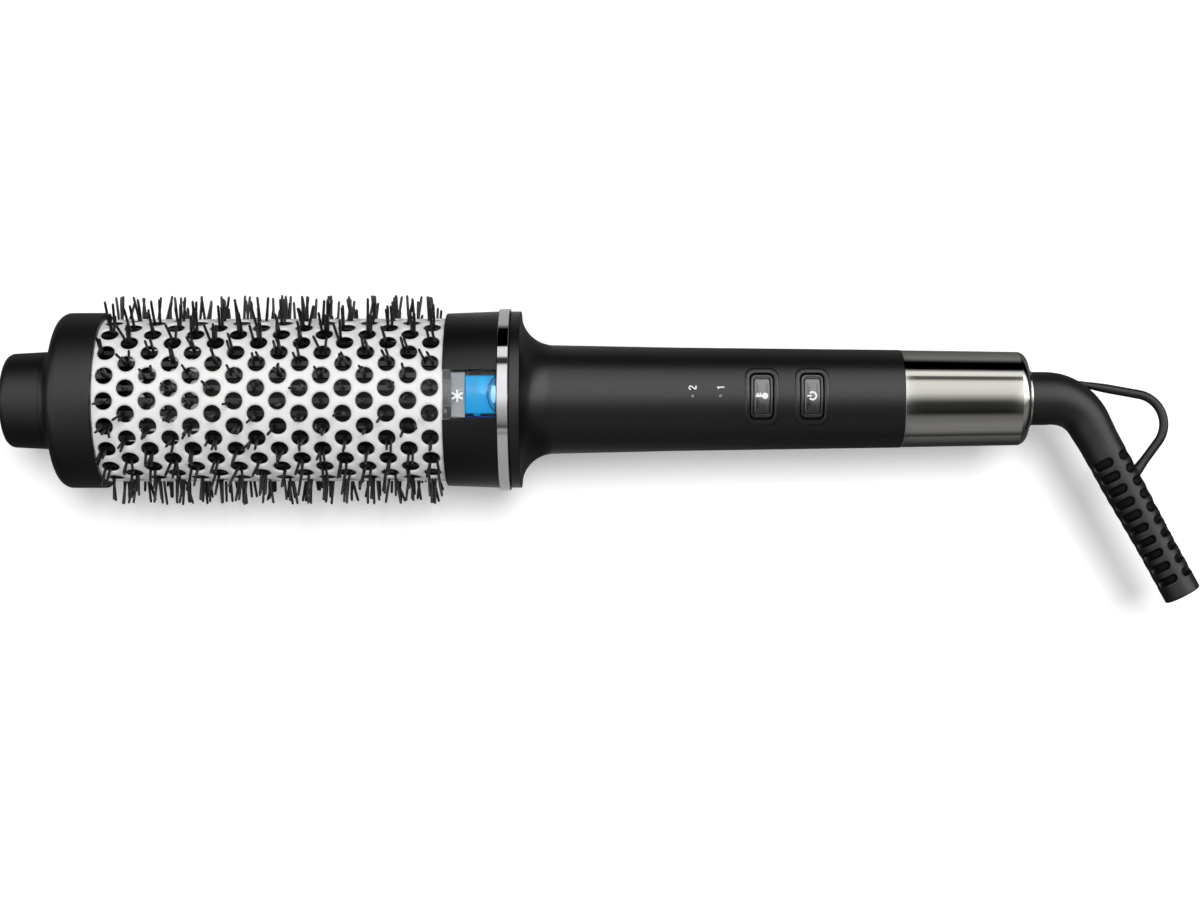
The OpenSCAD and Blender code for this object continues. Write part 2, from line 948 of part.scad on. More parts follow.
module impeller() {
  hub_r = 6.5;
  front = 161.5;
  back = 169;
  r = impeller_d / 2;
  color(nylon_black)
    difference() {
      union() {
        bar(front, back, hub_r);
        intersection() {
          for (i = [0 : blade_count - 1])
            rotate([360 * i / blade_count, 0, 0])
              translate([(front + back) / 2, 0, (hub_r + r) / 2])
                rotate([0, 0, 50])
                  cube([8, 1.1, r - hub_r + 2], center = true);
          bar(front + 0.1, back - 0.1, r);
        }
      }
      bar(front - over, back + over, shaft_bore_r, small);
    }
}

module fan_duct() {
  wire_gate = [[158, 13.2, 0.5], [162, 15, 2.6]];
  color(nylon_black) {
    difference() {
      union() {
        bar(duct_front, duct_back, duct_r);
        bar(duct_front, duct_front + 1.5, 15.8);
      }
      bar(duct_front - over, duct_back + over, duct_bore_r);
      // Gates for the heater wires and the ion lead
      block(wire_gate[0], wire_gate[1]);
      mirror([0, 1, 0])
        block(wire_gate[0], wire_gate[1]);
      block([158, -0.7, 13.3], [162, 0.7, 17]);
    }
    pipe(motor_front + 1, motor_back - 1, can_d / 2 + 0.7, can_d / 2 + gap);
    // Guide vanes between the motor's sleeve and the duct
    for (i = [0 : 5])
      rotate([60 * i + 30, 0, 0])
        block([motor_front + 5, -0.5, can_d / 2 + 0.4], [motor_back - 5, 0.5, duct_bore_r + 0.3]);
  }
}

// ---------------------------------------------------------------- rear end

sleeve_bore_r = 13.5;

module rear_sleeve() {
  corner = [sleeve_end_d / 2 - sleeve_edge_r, sleeve_end - sleeve_edge_r];
  color(gunmetal)
    turned(concat(
      [[sleeve_bore_r, handle_end + gap], [sleeve_d / 2, handle_end + gap]],
      arc(corner, sleeve_edge_r, 0, 90),
      arc(corner, sleeve_bore_r - corner[0], 90, 0)
    ));
}

module inlet_grille() {
  corner_x = sleeve_end - sleeve_edge_r;
  color(soft_black)
    difference() {
      union() {
        bar(spigot_end + 0.1, corner_x - 0.3, sleeve_bore_r - 0.1);
        bar(corner_x - 0.4, sleeve_end - 0.4, sleeve_end_d / 2 - sleeve_edge_r - gap);
      }
      bar(spigot_end - over, sleeve_end + over, socket_r + gap);
      bar_circle(20, 10.4, spigot_end - over, sleeve_end + over, 0.8);
    }
}

module inlet_filter() {
  color("dimgray")
    pipe(spigot_end - 1.3, spigot_end, spigot_bore_r - 0.1, socket_r + 0.1);
}

module swivel_socket() {
  wall_end = socket_wall + 2;
  rim = 0.4;
  color(soft_black)
    difference() {
      turned([
        [wall_bore_r, socket_wall], [spigot_bore_r - gap, socket_wall],
        [spigot_bore_r - gap, wall_end], [socket_r, wall_end], [socket_r, socket_end - rim],
        [socket_r - rim, socket_end], [socket_bore_r, socket_end], [socket_bore_r, wall_end],
        [wall_bore_r, wall_end]
      ]);
      bar_circle(8, 10.6, socket_wall - over, wall_end + over, 1.1);
    }
}

// The hard core of the boot: a stem in the socket's wall, a thrust disc and a tail
module swivel_plug() {
  clip_x = socket_wall - 1;
  bore_r = 2;
  color(cream_plastic)
    turned([
      [bore_r, 290], [plug_r, 290], [plug_r, clip_x], [3.2, clip_x], [3.2, clip_x + 0.9],
      [plug_r, clip_x + 0.9], [plug_r, 300.1], [8.1, 300.1], [8.1, 303], [5, 303],
      [5, 310], [bore_r, 310]
    ]);
}

module contact_rings() {
  color(brass_tone)
    for (x = [291, 294])
      pipe(x, x + 1.5, 5, plug_r + 0.02);
}

module contact_block() {
  color(cream_plastic)
    difference() {
      bar(284, 286.5, spigot_bore_r - gap);
      bar_circle(8, 9, 283, 288, 1.5, 22.5);
      block([283, -1.55, 5], [288, 1.55, 5.45]);
      block([283, -1.55, -6.05], [288, 1.55, -5.6]);
    }
}

module contact_fingers() {
  color(brass_tone) {
    block([284.2, -1.5, 5.05], [292.5, 1.5, 5.4]);
    block([284.2, -1.5, -6], [295.5, 1.5, -5.65]);
    block([294, -1.5, -5.7], [295.5, 1.5, -5.05]);
  }
}

module retaining_clip() {
  clip_x = socket_wall - 1 + gap;
  color(steel)
    difference() {
      pipe(clip_x, clip_x + 0.8, 5.6, 3.25);
      block([clip_x - over, -1.6, -7], [clip_x + 2, 1.6, 0]);
    }
}

// ---------------------------------------------------------------- cord, boot and wires

// A round bend from +X towards -Y that starts at the origin, with a ball at each end that
// joins it to a straight rod
module elbow(bend, angle, r) {
  translate([0, -bend, 0])
    rotate([0, 0, 90 - angle])
      rotate_extrude(angle = angle, $fn = fine)
        translate([bend, 0])
          circle(r = r, $fn = 48);
  for (corner = [[0, 0, 0], elbow_end(bend, angle)])
    translate(corner)
      sphere(r = r + joint_swell, $fn = 48);
}

function elbow_end(bend, angle) = [bend * sin(angle), -bend * (1 - cos(angle)), 0];

// A round rod that starts along +X, bends towards -Y and goes on straight
module bent_rod(len_in, bend, angle, len_out, r) {
  bar(0, len_in, r, 48);
  translate([len_in, 0, 0]) {
    elbow(bend, angle, r);
    translate(elbow_end(bend, angle))
      rotate([0, 0, -angle])
        bar(0, len_out, r, 48);
  }
}

// Places its child at the start of the boot's straight leg, with +X along the leg
module on_leg() {
  translate([bend_x, 0, 0] + elbow_end(bend_r, boot_angle))
    rotate([0, 0, -boot_angle])
      children();
}

// Where the boot has narrowed behind its bend, and its diameter there
neck_s = 5;
neck_boot_d = 12.9;
slots_start = 13.25;
slot_turn = 36;
cord_mouth = 12;
cord_mouth_r = 3.6;
cord_bore_r = cord_d / 2 + 0.1;

// The moulded hanging loop, in the plane of the boot's bend
module hanging_loop() {
  r = loop_d / 2;
  translate([327.5, 5, 0])
    rotate([0, 0, -10.4]) {
      sphere(r = r + joint_swell, $fn = small);
      bent_rod(21.2, 9.2, 116.4, 11.8, r);
    }
}

// A cutter for one oblong slot in the leg's surface, its long side across the leg
module boot_slot(depth) {
  slot_l = 7;
  slot_w = 2.4;
  translate([0, 0, -depth])
    linear_extrude(4)
      union() {
        square([slot_w, slot_l - slot_w], center = true);
        for (side = [-1, 1])
          translate([0, side * (slot_l - slot_w) / 2])
            circle(d = slot_w, $fn = 24);
      }
}

module boot_solid() {
  bend_boot_r = boot_bend_d / 2;
  turned([
    [0, 303.05], [boot_d / 2, 303.05], [boot_d / 2, socket_end], [bend_boot_r, bend_x],
    [0, bend_x]
  ]);
  translate([bend_x, 0, 0])
    elbow(bend_r, boot_angle, bend_boot_r);
  on_leg()
    turned([
      [0, 0], [bend_boot_r, 0], [neck_boot_d / 2, neck_s], [boot_slot_d / 2, slots_start],
      [boot_end_d / 2, leg_len], [0, leg_len]
    ]);
}

module cord_boot() {
  color(soft_black)
    difference() {
      union() {
        boot_solid();
        hanging_loop();
      }
      bar(302, 310.1, 5.05);
      translate([310, 0, 0])
        bent_rod(bend_x - 310, bend_r, boot_angle, leg_len - cord_mouth, cord_bore_r);
      on_leg() {
        bar(leg_len - cord_mouth, leg_len + over, cord_mouth_r, 48);
        for (ring = [0 : slot_rings - 1], i = [0 : 3])
          translate([slots_start + ring * slot_pitch, 0, 0])
            rotate([slot_turn + 90 * i, 0, 0])
              translate([0, 0, mix(boot_slot_d, boot_end_d, ring / slot_rings) / 2])
                boot_slot(ring < slot_rings / 2 ? 1.2 : 1.5);
      }
    }
}

module power_cord() {
  start = 310.15;
  color(nylon_black)
    translate([start, 0, 0])
      bent_rod(bend_x - start, bend_r, boot_angle, leg_len - cord_mouth - gap, cord_d / 2);
}

module cord_conductors() {
  color(copper_tone)
    for (side = [-1, 1])
      translate([0, side * 0.9, 0])
        bar(291, 310.1, 0.75, small);
}

module wire_harness() {
  r = 0.42;
  lead_z = 13.72;
  color("firebrick")
    for (side = [-1, 1]) {
      // Board to contact block
      strand([[263.1, side * 4.5, 3.2], [283.9, side * 4.5, 3.2]], r);
      // Board to motor
      strand([[206.9, side * 4.5, 3.2], [201, side * 6, 2], [196.6, side * 6, 2]], r);
      // Board to heater, outside the duct
      strand([
        [206.9, side * 9.5, 3.2], [200.5, side * 13.55, 1.5], [158.2, side * 13.75, 1.5],
        [156, side * 11.5, 1.5], [131, side * 11.5, 1.5]
      ], r);
    }
  // Ion lead from the board round the front screw post, over the duct and to the emitter
  color("white")
    strand([
      [206.9, 1.5, 3.2], [206.2, 1.5, 3.2], [205.8, 3.8, 12.9], [203, 3.8, 13.18],
      [198.5, 1, 13.68], [196, 0, lead_z], [160, 0, lead_z], [157.6, 0, 18.4],
      [151.35, 0, 18.4]
    ], r);
}

// ---------------------------------------------------------------- what is drawn

cool_tip();
tip_screw();
end_cap();
front_strip_ring();
rear_strip_ring();
barrel();
bristle_strips();
mica_tube();
heater_frame();
heater_coil();
heater_base();
thermostat();
thermal_fuse();
collar();
collar_screws();
ion_window();
ion_emitter_block();
ion_carrier();
ion_needle();
chrome_ring();
handle_top_shell();
handle_bottom_shell();
shell_screws();
power_button();
power_plunger();
temperature_button();
temperature_plunger();
tactile_switches();
light_pipes();
indicator_leds();
control_board();
board_components();
board_screws();
ion_generator();
motor_can();
motor_magnets();
motor_end_bell();
carbon_brushes();
shaft_bearings();
armature();
rotor_windings();
commutator();
motor_shaft();
impeller();
fan_duct();
rear_sleeve();
inlet_grille();
inlet_filter();
swivel_socket();
swivel_plug();
contact_rings();
contact_block();
contact_fingers();
retaining_clip();
cord_boot();
power_cord();
cord_conductors();
wire_harness();
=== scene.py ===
import json
import math
import random

import bmesh
import bpy
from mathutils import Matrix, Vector


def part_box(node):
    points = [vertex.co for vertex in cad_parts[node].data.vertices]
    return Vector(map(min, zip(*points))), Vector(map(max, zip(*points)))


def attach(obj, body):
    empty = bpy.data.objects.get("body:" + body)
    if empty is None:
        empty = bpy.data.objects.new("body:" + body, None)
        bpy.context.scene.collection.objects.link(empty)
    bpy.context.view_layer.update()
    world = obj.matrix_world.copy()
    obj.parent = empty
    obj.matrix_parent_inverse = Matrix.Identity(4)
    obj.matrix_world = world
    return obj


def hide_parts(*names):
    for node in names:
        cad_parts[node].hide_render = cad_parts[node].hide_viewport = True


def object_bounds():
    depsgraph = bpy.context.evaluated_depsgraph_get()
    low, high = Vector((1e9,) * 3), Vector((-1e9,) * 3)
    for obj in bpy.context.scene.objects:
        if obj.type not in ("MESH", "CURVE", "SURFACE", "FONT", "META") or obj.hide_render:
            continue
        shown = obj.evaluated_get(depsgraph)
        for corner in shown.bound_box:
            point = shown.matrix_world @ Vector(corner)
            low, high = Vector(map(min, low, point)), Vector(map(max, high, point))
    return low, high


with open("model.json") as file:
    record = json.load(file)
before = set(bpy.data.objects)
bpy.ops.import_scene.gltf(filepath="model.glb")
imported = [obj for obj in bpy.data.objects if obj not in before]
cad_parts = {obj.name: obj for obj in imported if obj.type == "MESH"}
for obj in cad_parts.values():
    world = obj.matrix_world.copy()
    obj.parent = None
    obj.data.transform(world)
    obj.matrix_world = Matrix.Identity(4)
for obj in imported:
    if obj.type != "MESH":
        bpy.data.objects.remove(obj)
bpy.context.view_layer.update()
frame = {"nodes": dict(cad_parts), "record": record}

# The looks of the hot air brush. Lengths in this script are millimetres in the CAD frame
# (+X along the brush towards the cord, +Z out of the keys) and become metres in make_piece().
MM = 0.001
HOUSING, SWIVEL = "housing", "swivel"
# Points closer than this, in metres, become one
MERGE = 1e-7

# ---------------- places from the frame


class Span:
    """A CAD node's extent: x0 to x1 along the brush, and its radius about the axis."""

    def __init__(self, node):
        low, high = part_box(node)
        self.low, self.high = low / MM, high / MM
        self.x0, self.x1 = self.low.x, self.high.x
        self.r = max(self.high.y, self.high.z)


TIP = Span("cool_tip")
CAP = Span("end_cap")
BARREL = Span("barrel")
STRIPS = Span("bristle_strips")
COLLAR = Span("collar")
BLUE = Span("ion_emitter_block")
CARRIER = Span("ion_carrier")
RING = Span("chrome_ring")
SLEEVE = Span("rear_sleeve")
SOCKET = Span("swivel_socket")
TEMPERATURE_KEY = Span("temperature_button")
POWER_KEY = Span("power_button")
LIGHTS = Span("light_pipes")
BOOT = Span("cord_boot")

# ---------------- mesh helpers


def make_piece(name, verts, faces, material, replaces=(), body=HOUSING, smooth_angle=35,
               merge=None):
    """Makes a piece from millimetre points, with its material and its place in the assembly."""
    mesh = bpy.data.meshes.new(name)
    mesh.from_pydata([Vector(v) * MM for v in verts], [], faces)
    mesh.validate()
    mesh.materials.append(material)
    if merge:
        clean(mesh, merge)
    shade(mesh, smooth_angle)
    piece = bpy.data.objects.new(name, mesh)
    bpy.context.scene.collection.objects.link(piece)
    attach(piece, body)
    if replaces:
        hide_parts(*replaces)
    return piece


def shade(mesh, smooth_angle=35):
    """Shades smooth, with sharp edges where faces turn by more than an angle in degrees."""
    mesh.polygons.foreach_set("use_smooth", [True] * len(mesh.polygons))
    mesh.set_sharp_from_angle(angle=math.radians(smooth_angle))
    mesh.update()


def clean(mesh, distance=MERGE):
    """Merges doubled points, drops empty faces and turns the faces outwards."""
    bm = bmesh.new()
    bm.from_mesh(mesh)
    bmesh.ops.remove_doubles(bm, verts=bm.verts, dist=distance)
    bmesh.ops.dissolve_degenerate(bm, edges=bm.edges, dist=distance)
    bmesh.ops.recalc_face_normals(bm, faces=bm.faces)
    bm.to_mesh(mesh)
    bm.free()


def cut(piece, verts, faces):
    """Cuts a closed shape, given in millimetres, out of a piece."""
    mesh = bpy.data.meshes.new("cutter")
    mesh.from_pydata([Vector(v) * MM for v in verts], [], faces)
    clean(mesh)
    cutter = bpy.data.objects.new("cutter", mesh)
    bpy.context.scene.collection.objects.link(cutter)
    step = piece.modifiers.new("cut", "BOOLEAN")
    step.object = cutter
    step.operation = "DIFFERENCE"
    step.solver = "EXACT"
    graph = bpy.context.evaluated_depsgraph_get()
    result = bpy.data.meshes.new_from_object(piece.evaluated_get(graph))
    piece.modifiers.clear()
    piece.data = result
    bpy.data.objects.remove(cutter)


def evenly(a, b, steps):
    """Numbers from a to b in even steps."""
    return [a + (b - a) * i / steps for i in range(steps + 1)]


def rounded(corners, step_deg=8):
    """Rounds the corners of a closed outline given as (x, r, radius) in order."""
    outline = []
    for i, (x, r, radius) in enumerate(corners):
        here = Vector((x, r))
        before = (Vector(corners[i - 1][:2]) - here).normalized()
        after = (Vector(corners[(i + 1) % len(corners)][:2]) - here).normalized()
        if radius <= 0:
            outline.append(here)
            continue
        half = before.angle(after) / 2
        centre = here + (before + after).normalized() * radius / math.sin(half)
        reach = radius / math.tan(half)
        start, end = here + before * reach - centre, here + after * reach - centre
        turn = -start.angle_signed(end)
        steps = max(2, math.ceil(abs(math.degrees(turn)) / step_deg))
        for k in range(steps + 1):
            c, q = math.cos(turn * k / steps), math.sin(turn * k / steps)
            outline.append(centre + Vector((start.x * c - start.y * q, start.x * q + start.y * c)))
    return outline


def rounded_rectangle(w, l, r, corner_steps=6):
    """Points of a rounded rectangle, w along X and l along Y, anticlockwise."""
    points = []
    for cx, cy, a0 in ((1, 1, 0), (-1, 1, 90), (-1, -1, 180), (1, -1, 270)):
        for k in range(corner_steps + 1):
            a = math.radians(a0 + 90 * k / corner_steps)
            points.append((
                cx * (w / 2 - r) + r * math.cos(a),
                cy * (l / 2 - r) + r * math.sin(a),
            ))
    return points


def disc(x, y, rx, ry, steps=28):
    """An ellipse as points."""
    turn = [2 * math.pi * i / steps for i in range(steps)]
    return [(x + rx * math.cos(a), y + ry * math.sin(a)) for a in turn]


def arc_points(cx, cy, r, a0, a1, steps=14):
    """Points on an arc from a0 to a1 degrees."""
    angles = [math.radians(a) for a in evenly(a0, a1, steps)]
    return [(cx + r * math.cos(a), cy + r * math.sin(a)) for a in angles]


def band(a, b, n):
    """Faces between two closed loops of n points, which begin at points a and b."""
    return [[a + k, a + (k + 1) % n, b + (k + 1) % n, b + k] for k in range(n)]


def capped_loops(levels, n, base=0):
    """Faces of a closed skin over loops of n points, laid one on the other from point base."""
    faces = [[base + k for k in range(n)][::-1]]
    for s in range(levels - 1):
        faces += band(base + s * n, base + (s + 1) * n, n)
    return faces + [[base + (levels - 1) * n + k for k in range(n)]]


def prism(outline, z0, z1):
    """A closed upright prism over an (x, y) outline."""
    verts = [(x, y, z) for z in (z0, z1) for x, y in outline]
    return verts, capped_loops(2, len(outline))


def bar(outline, x0, x1):
    """A closed prism along the brush over a (y, z) outline."""
    verts = [(x, y, z) for x in (x0, x1) for y, z in outline]
    return verts, [face[::-1] for face in capped_loops(2, len(outline))]


def box(low, high):
    """A closed box between two corners."""
    (x0, y0, z0), (x1, y1, z1) = low, high
    return prism([(x0, y0), (x1, y0), (x1, y1), (x0, y1)], z0, z1)


def join(shapes):
    """Puts several (verts, faces) shapes into one."""
    all_verts, all_faces = [], []
    for verts, faces in shapes:
        all_faces += [[c + len(all_verts) for c in face] for face in faces]
        all_verts += verts
    return all_verts, all_faces


def lathe(outline, segments=192, start=0.0, sweep=360):
    """Turns a closed (x, r) outline about the brush axis. Angles run from +Z towards -Y."""
    full = sweep == 360
    rings = segments if full else segments + 1
    n = len(outline)
    verts, faces = [], []
    for i in range(rings):
        a = math.radians(start + sweep * i / segments)
        verts += [(x, -r * math.sin(a), r * math.cos(a)) for x, r in outline]
    for i in range(segments):
        faces += band(i * n, (i + 1) % rings * n, n)
    if not full:
        faces.append(list(range(n))[::-1])
        faces.append([(rings - 1) * n + k for k in range(n)])
    return verts, faces


def lathe_piece(name, corners, slot, material, node, step_deg=8, **turning):
    """A turned piece in place of a CAD node, from (x, r, rounding) corners."""
    verts, faces = lathe(rounded(corners, step_deg), **turning)
    return make_piece(name, verts, faces, material, [node], merge=MERGE)


def on_cylinder(x, y, r):
    """A point at height r above the axis line, wrapped round the brush by arc length y."""
    a = y / r
    return (x, r * math.sin(a), r * math.cos(a))


def flat_piece(name, outline, top_r, material, body=HOUSING, thick=0.3):
    """A thin plate with a softly crowned face, wrapped onto the brush at radius top_r."""
    n = len(outline)
    cx, cy = sum(p[0] for p in outline) / n, sum(p[1] for p in outline) / n
    # (share of the way in to the middle, depth below the top) from the root over the edge
    levels = ((0, thick), (0, 0.08), (0.12, 0.02), (0.35, 0.0), (0.75, 0.0))
    verts = [
        on_cylinder(x + (cx - x) * inset, y + (cy - y) * inset, top_r - drop)
        for inset, drop in levels for x, y in outline
    ]
    faces = capped_loops(len(levels), n)
    return make_piece(name, verts, faces, material, body=body, smooth_angle=40)


def ribbon(name, line, width, top_r, material, body=HOUSING, thick=0.2):
    """A raised stroke of even width that follows a line wrapped onto the brush."""
    n = len(line)
    verts, faces = [], []
    for i, (x, y) in enumerate(line):
        before, after = line[max(i - 1, 0)], line[min(i + 1, n - 1)]
        along = Vector((after[0] - before[0], after[1] - before[1])).normalized()
        left = Vector((-along.y, along.x)) * width / 2
        for side in (left, -left):
            for r in (top_r, top_r - thick):
                verts.append(on_cylinder(x + side.x, y + side.y, r))
    for a in range(0, 4 * (n - 1), 4):
        b = a + 4
        faces += [
            [a, a + 2, b + 2, b], [a + 1, b + 1, b + 3, a + 3], [a, b, b + 1, a + 1],
            [a + 2, a + 3, b + 3, b + 2],
        ]
    last = 4 * (n - 1)
    faces += [[0, 1, 3, 2], [last, last + 2, last + 3, last + 1]]
    return make_piece(name, verts, faces, material, body=body, merge=MERGE)


# ---------------- materials


class Nodes:
    """A node tree with short calls for the nodes this scene uses."""

    def __init__(self, tree):
        self.tree = tree

    def add(self, kind, **settings):
        """A new node with some of its settings."""
        node = self.tree.nodes.new(kind)
        for key, value in settings.items():
            setattr(node, key, value)
        return node

    def link(self, source, target):
        self.tree.links.new(source, target)

    def value(self, socket, given):
        """Feeds a socket from another node's output or sets it."""
        if isinstance(given, bpy.types.NodeSocket):
            self.link(given, socket)
        else:
            socket.default_value = given

    def remap(self, source, low, high, out_low, out_high):
        """Takes low..high to out_low..out_high and holds beyond them."""
        node = self.add("ShaderNodeMapRange")
        self.link(source, node.inputs["Value"])
        limits = {"From Min": low, "From Max": high, "To Min": out_low, "To Max": out_high}
        for key, given in limits.items():
            node.inputs[key].default_value = given
        return node.outputs["Result"]

    def math(self, operation, a, b=0.0):
        node = self.add("ShaderNodeMath", operation=operation)
        self.value(node.inputs[0], a)
        self.value(node.inputs[1], b)
        return node.outputs[0]

    def mix(self, factor, color_a, color_b):
        """color_a where the factor is 0 and color_b where it is 1."""
        node = self.add("ShaderNodeMix", data_type="RGBA")
        self.value(node.inputs["Factor"], factor)
        self.value(node.inputs[6], rgba(color_a))
        self.value(node.inputs[7], rgba(color_b))
        return node.outputs[2]


class Graph(Nodes):
    """A new material's node tree, with patterns in the object's own space."""

    def __init__(self, name):
        self.material = bpy.data.materials.new(name)
        self.material.use_nodes = True
        super().__init__(self.material.node_tree)
        self.shader = self.tree.nodes["Principled BSDF"]
        self.where = self.add("ShaderNodeTexCoord").outputs["Object"]

    def pattern(self, kind, size_mm, where=None, **inputs):
        """A texture node whose blotches are about size_mm across."""
        node = self.add(kind)
        self.link(where or self.where, node.inputs["Vector"])
        node.inputs["Scale"].default_value = 1 / (size_mm * MM)
        for key, given in inputs.items():
            node.inputs[key].default_value = given
        return node.outputs

    def noise(self, size_mm, detail=4.0, where=None):
        outputs = self.pattern("ShaderNodeTexNoise", size_mm, where, Detail=detail, Roughness=0.6)
        return outputs["Fac"]

    def cells(self, size_mm):
        return self.pattern("ShaderNodeTexVoronoi", size_mm)["Distance"]

    def vector_math(self, operation, source, by=None):
        node = self.add("ShaderNodeVectorMath", operation=operation)
        self.link(source, node.inputs[0])
        if by:
            node.inputs[1].default_value = by
        return node.outputs["Value" if operation == "LENGTH" else "Vector"]

    def stretched(self, x, y, z):
        """The object coordinates scaled along each axis, for streaks."""
        node = self.add("ShaderNodeMapping")
        self.link(self.where, node.inputs["Vector"])
        node.inputs["Scale"].default_value = (x, y, z)
        return node.outputs["Vector"]

    def bump(self, height, depth_mm):
        node = self.add("ShaderNodeBump")
        node.inputs["Distance"].default_value = depth_mm * MM
        node.inputs["Strength"].default_value = 1.0
        self.link(height, node.inputs["Height"])
        return node.outputs["Normal"]

    def set(self, **inputs):
        """Sets or feeds the shader's inputs, named with _ for a space."""
        for key, given in inputs.items():
            self.value(self.shader.inputs[key.replace("_", " ")], given)


def rgba(color):
    """A colour with its alpha; a node's output stays as it is."""
    if isinstance(color, bpy.types.NodeSocket):
        return color
    return (*color, 1.0)


def scaled(color, factor):
    return tuple(min(1.0, c * factor) for c in color)


def moulded(name, color, roughness, grain_mm=0.25, grain_depth=0.01, spread=0.25, **extra):
    """Moulded plastic or rubber: fine grain, faint colour clouds and uneven gloss."""
    g = Graph(name)
    clouds = g.noise(18, 3)
    grain = g.noise(grain_mm, 2)
    g.set(
        Base_Color=g.mix(clouds, scaled(color, 1 - spread), scaled(color, 1 + spread)),
        Roughness=g.remap(grain, 0.3, 0.7, roughness - 0.05, roughness + 0.07),
        Normal=g.bump(grain, grain_depth),
        **extra,
    )
    return g.material


def polished(name, color, roughness, streak=(40, 2500, 2500)):
    """Polished metal with very faint turning marks and smears."""
    g = Graph(name)
    marks = g.noise(1000, 3, g.stretched(*streak))
    smears = g.noise(14)
    g.set(
        Base_Color=g.mix(marks, scaled(color, 0.94), color),
        Metallic=1.0,
        Roughness=g.remap(smears, 0.3, 0.75, roughness * 0.7, roughness * 1.6),
        Normal=g.bump(marks, 0.0008),
    )
    return g.material


def baked_coat(name):
    """White baked coating outside the barrel, slightly peeled, and a near-black inside that is
    painted shade.
    """
    g = Graph(name)
    peel = g.noise(1.1, 2)
    clouds = g.noise(22, 3)
    radius = g.vector_math("LENGTH", g.vector_math("MULTIPLY", g.where, (0, 1, 1)))
    coat_from = (BARREL.r - 0.5) * MM
    outside = g.remap(radius, coat_from - 0.05 * MM, coat_from, 0, 1)
    coat = g.mix(clouds, (0.76, 0.76, 0.75), (0.82, 0.82, 0.81))
    g.set(
        # Painted shade: inside the coat the tube is coloured near black, for the shade seen through
        # the holes
        Base_Color=g.mix(outside, (0.03, 0.03, 0.028), coat),
        Roughness=g.remap(peel, 0.3, 0.7, 0.3, 0.42),
        Normal=g.bump(peel, 0.012),
        Coat_Weight=0.25,
        Coat_Roughness=0.2,
    )
    return g.material


def mottled(name, color, second, size_mm, roughness):
    """Two colours in flakes, as in mica sheet or a filter pad."""
    g = Graph(name)
    flakes = g.cells(size_mm)
    g.set(
        Base_Color=g.mix(flakes, color, second),
        Roughness=g.remap(g.noise(size_mm), 0.3, 0.7, roughness - 0.1, roughness + 0.1),
        Normal=g.bump(flakes, 0.05),
    )
    return g.material


def clear_plastic(name):
    """Clear polycarbonate with a faint cold tint and moulding ripples."""
    g = Graph(name)
    ripple = g.noise(4, 2)
    g.set(
        Base_Color=g.mix(ripple, (0.86, 0.89, 0.92), (0.95, 0.96, 0.97)),
        Roughness=g.remap(ripple, 0.3, 0.7, 0.02, 0.06),
        Normal=g.bump(ripple, 0.01),
        Transmission_Weight=1.0,
        IOR=1.15,
        Specular_IOR_Level=0.0,
    )
    return g.material


def printed(name, color):
    """Ink of a printed mark, slightly uneven where the grain shows through, with a faint painted
    glow.
    """
    g = Graph(name)
    speck = g.noise(0.12, 2)
    g.set(
        Base_Color=g.mix(speck, scaled(color, 0.86), color),
        Roughness=g.remap(speck, 0.3, 0.7, 0.45, 0.6),
        # Painted glow: the ink gives off a little light of its own colour
        Emission_Color=rgba(color),
        Emission_Strength=0.05,
    )
    return g.material


def wound_wire(name, color, pitch_mm):
    """Enamelled wire laid in turns round the brush axis."""
    g = Graph(name)
    # A wave texture has about three turns to its unit of scale
    turns = g.pattern("ShaderNodeTexWave", 3 * pitch_mm, Distortion=0.6)["Fac"]
    g.set(
        Base_Color=g.mix(turns, scaled(color, 0.55), color),
        Metallic=0.8,
        Roughness=g.remap(g.noise(1), 0.3, 0.7, 0.28, 0.42),
        Normal=g.bump(turns, 0.1),
    )
    return g.material


def shine(level, **more):
    """How strongly a dielectric surface mirrors, as shader inputs."""
    return {"Specular_IOR_Level": level, **more}


BLACK = (0.0022, 0.0022, 0.0024)
DEEP_BLACK = (0.0015, 0.0015, 0.0016)
SOFT_TOUCH = moulded("soft_touch_black", BLACK, 0.33, 0.22, 0.006)
CAP_BLACK = moulded("cap_satin_black", BLACK, 0.38, 0.3, 0.008, **shine(0.42))
COLLAR_BLACK = moulded("collar_satin_black", BLACK, 0.32, 0.25, 0.006, **shine(0.32))
KEY_RIM = moulded("key_rim_black", DEEP_BLACK, 0.24, 0.2, 0.003, **shine(0.8))
KEY_TOP = moulded("key_top_gloss", BLACK, 0.2, 0.6, 0.002, **shine(1.0, Coat_Weight=0.8))
FRAME_BLACK = moulded("key_frame_black", BLACK, 0.28, 0.2, 0.003, **shine(0.6))
NYLON = moulded("bristle_nylon", DEEP_BLACK, 0.36, 0.5, 0.004, 0.4)
FAN_BLACK = moulded("fan_black", BLACK, 0.5)
BOOT_RUBBER = moulded("boot_rubber", BLACK, 0.42, 0.35, 0.014)
SLOT_BLACK = moulded("boot_slot_floor", DEEP_BLACK, 0.6, 0.35, 0.01, **shine(0.12))
CORD_RUBBER = moulded("cord_jacket", BLACK, 0.45)
HEAT_PLASTIC = moulded("heat_plastic", (0.06, 0.055, 0.045), 0.5)
WIRE_RED = moulded("wire_jacket", (0.42, 0.04, 0.03), 0.4)
DARK_EPOXY = moulded("dark_epoxy", (0.03, 0.03, 0.032), 0.42)
LED_WHITE = moulded("led_white", (0.8, 0.8, 0.75), 0.3)
DULL = shine(0.15)
BLUE_PLASTIC = moulded("ion_blue", (0.003, 0.24, 0.50), 0.4, 1.5, 0.004, 0.06, **DULL)
BLUE_LIGHT = moulded("ion_blue_light", (0.012, 0.34, 0.62), 0.4, 1.5, 0.004, 0.06, **DULL)
BLUE_DARK = moulded("ion_navy", (0.0, 0.03, 0.16), 0.4, 1.5, 0.004, 0.1, **DULL)
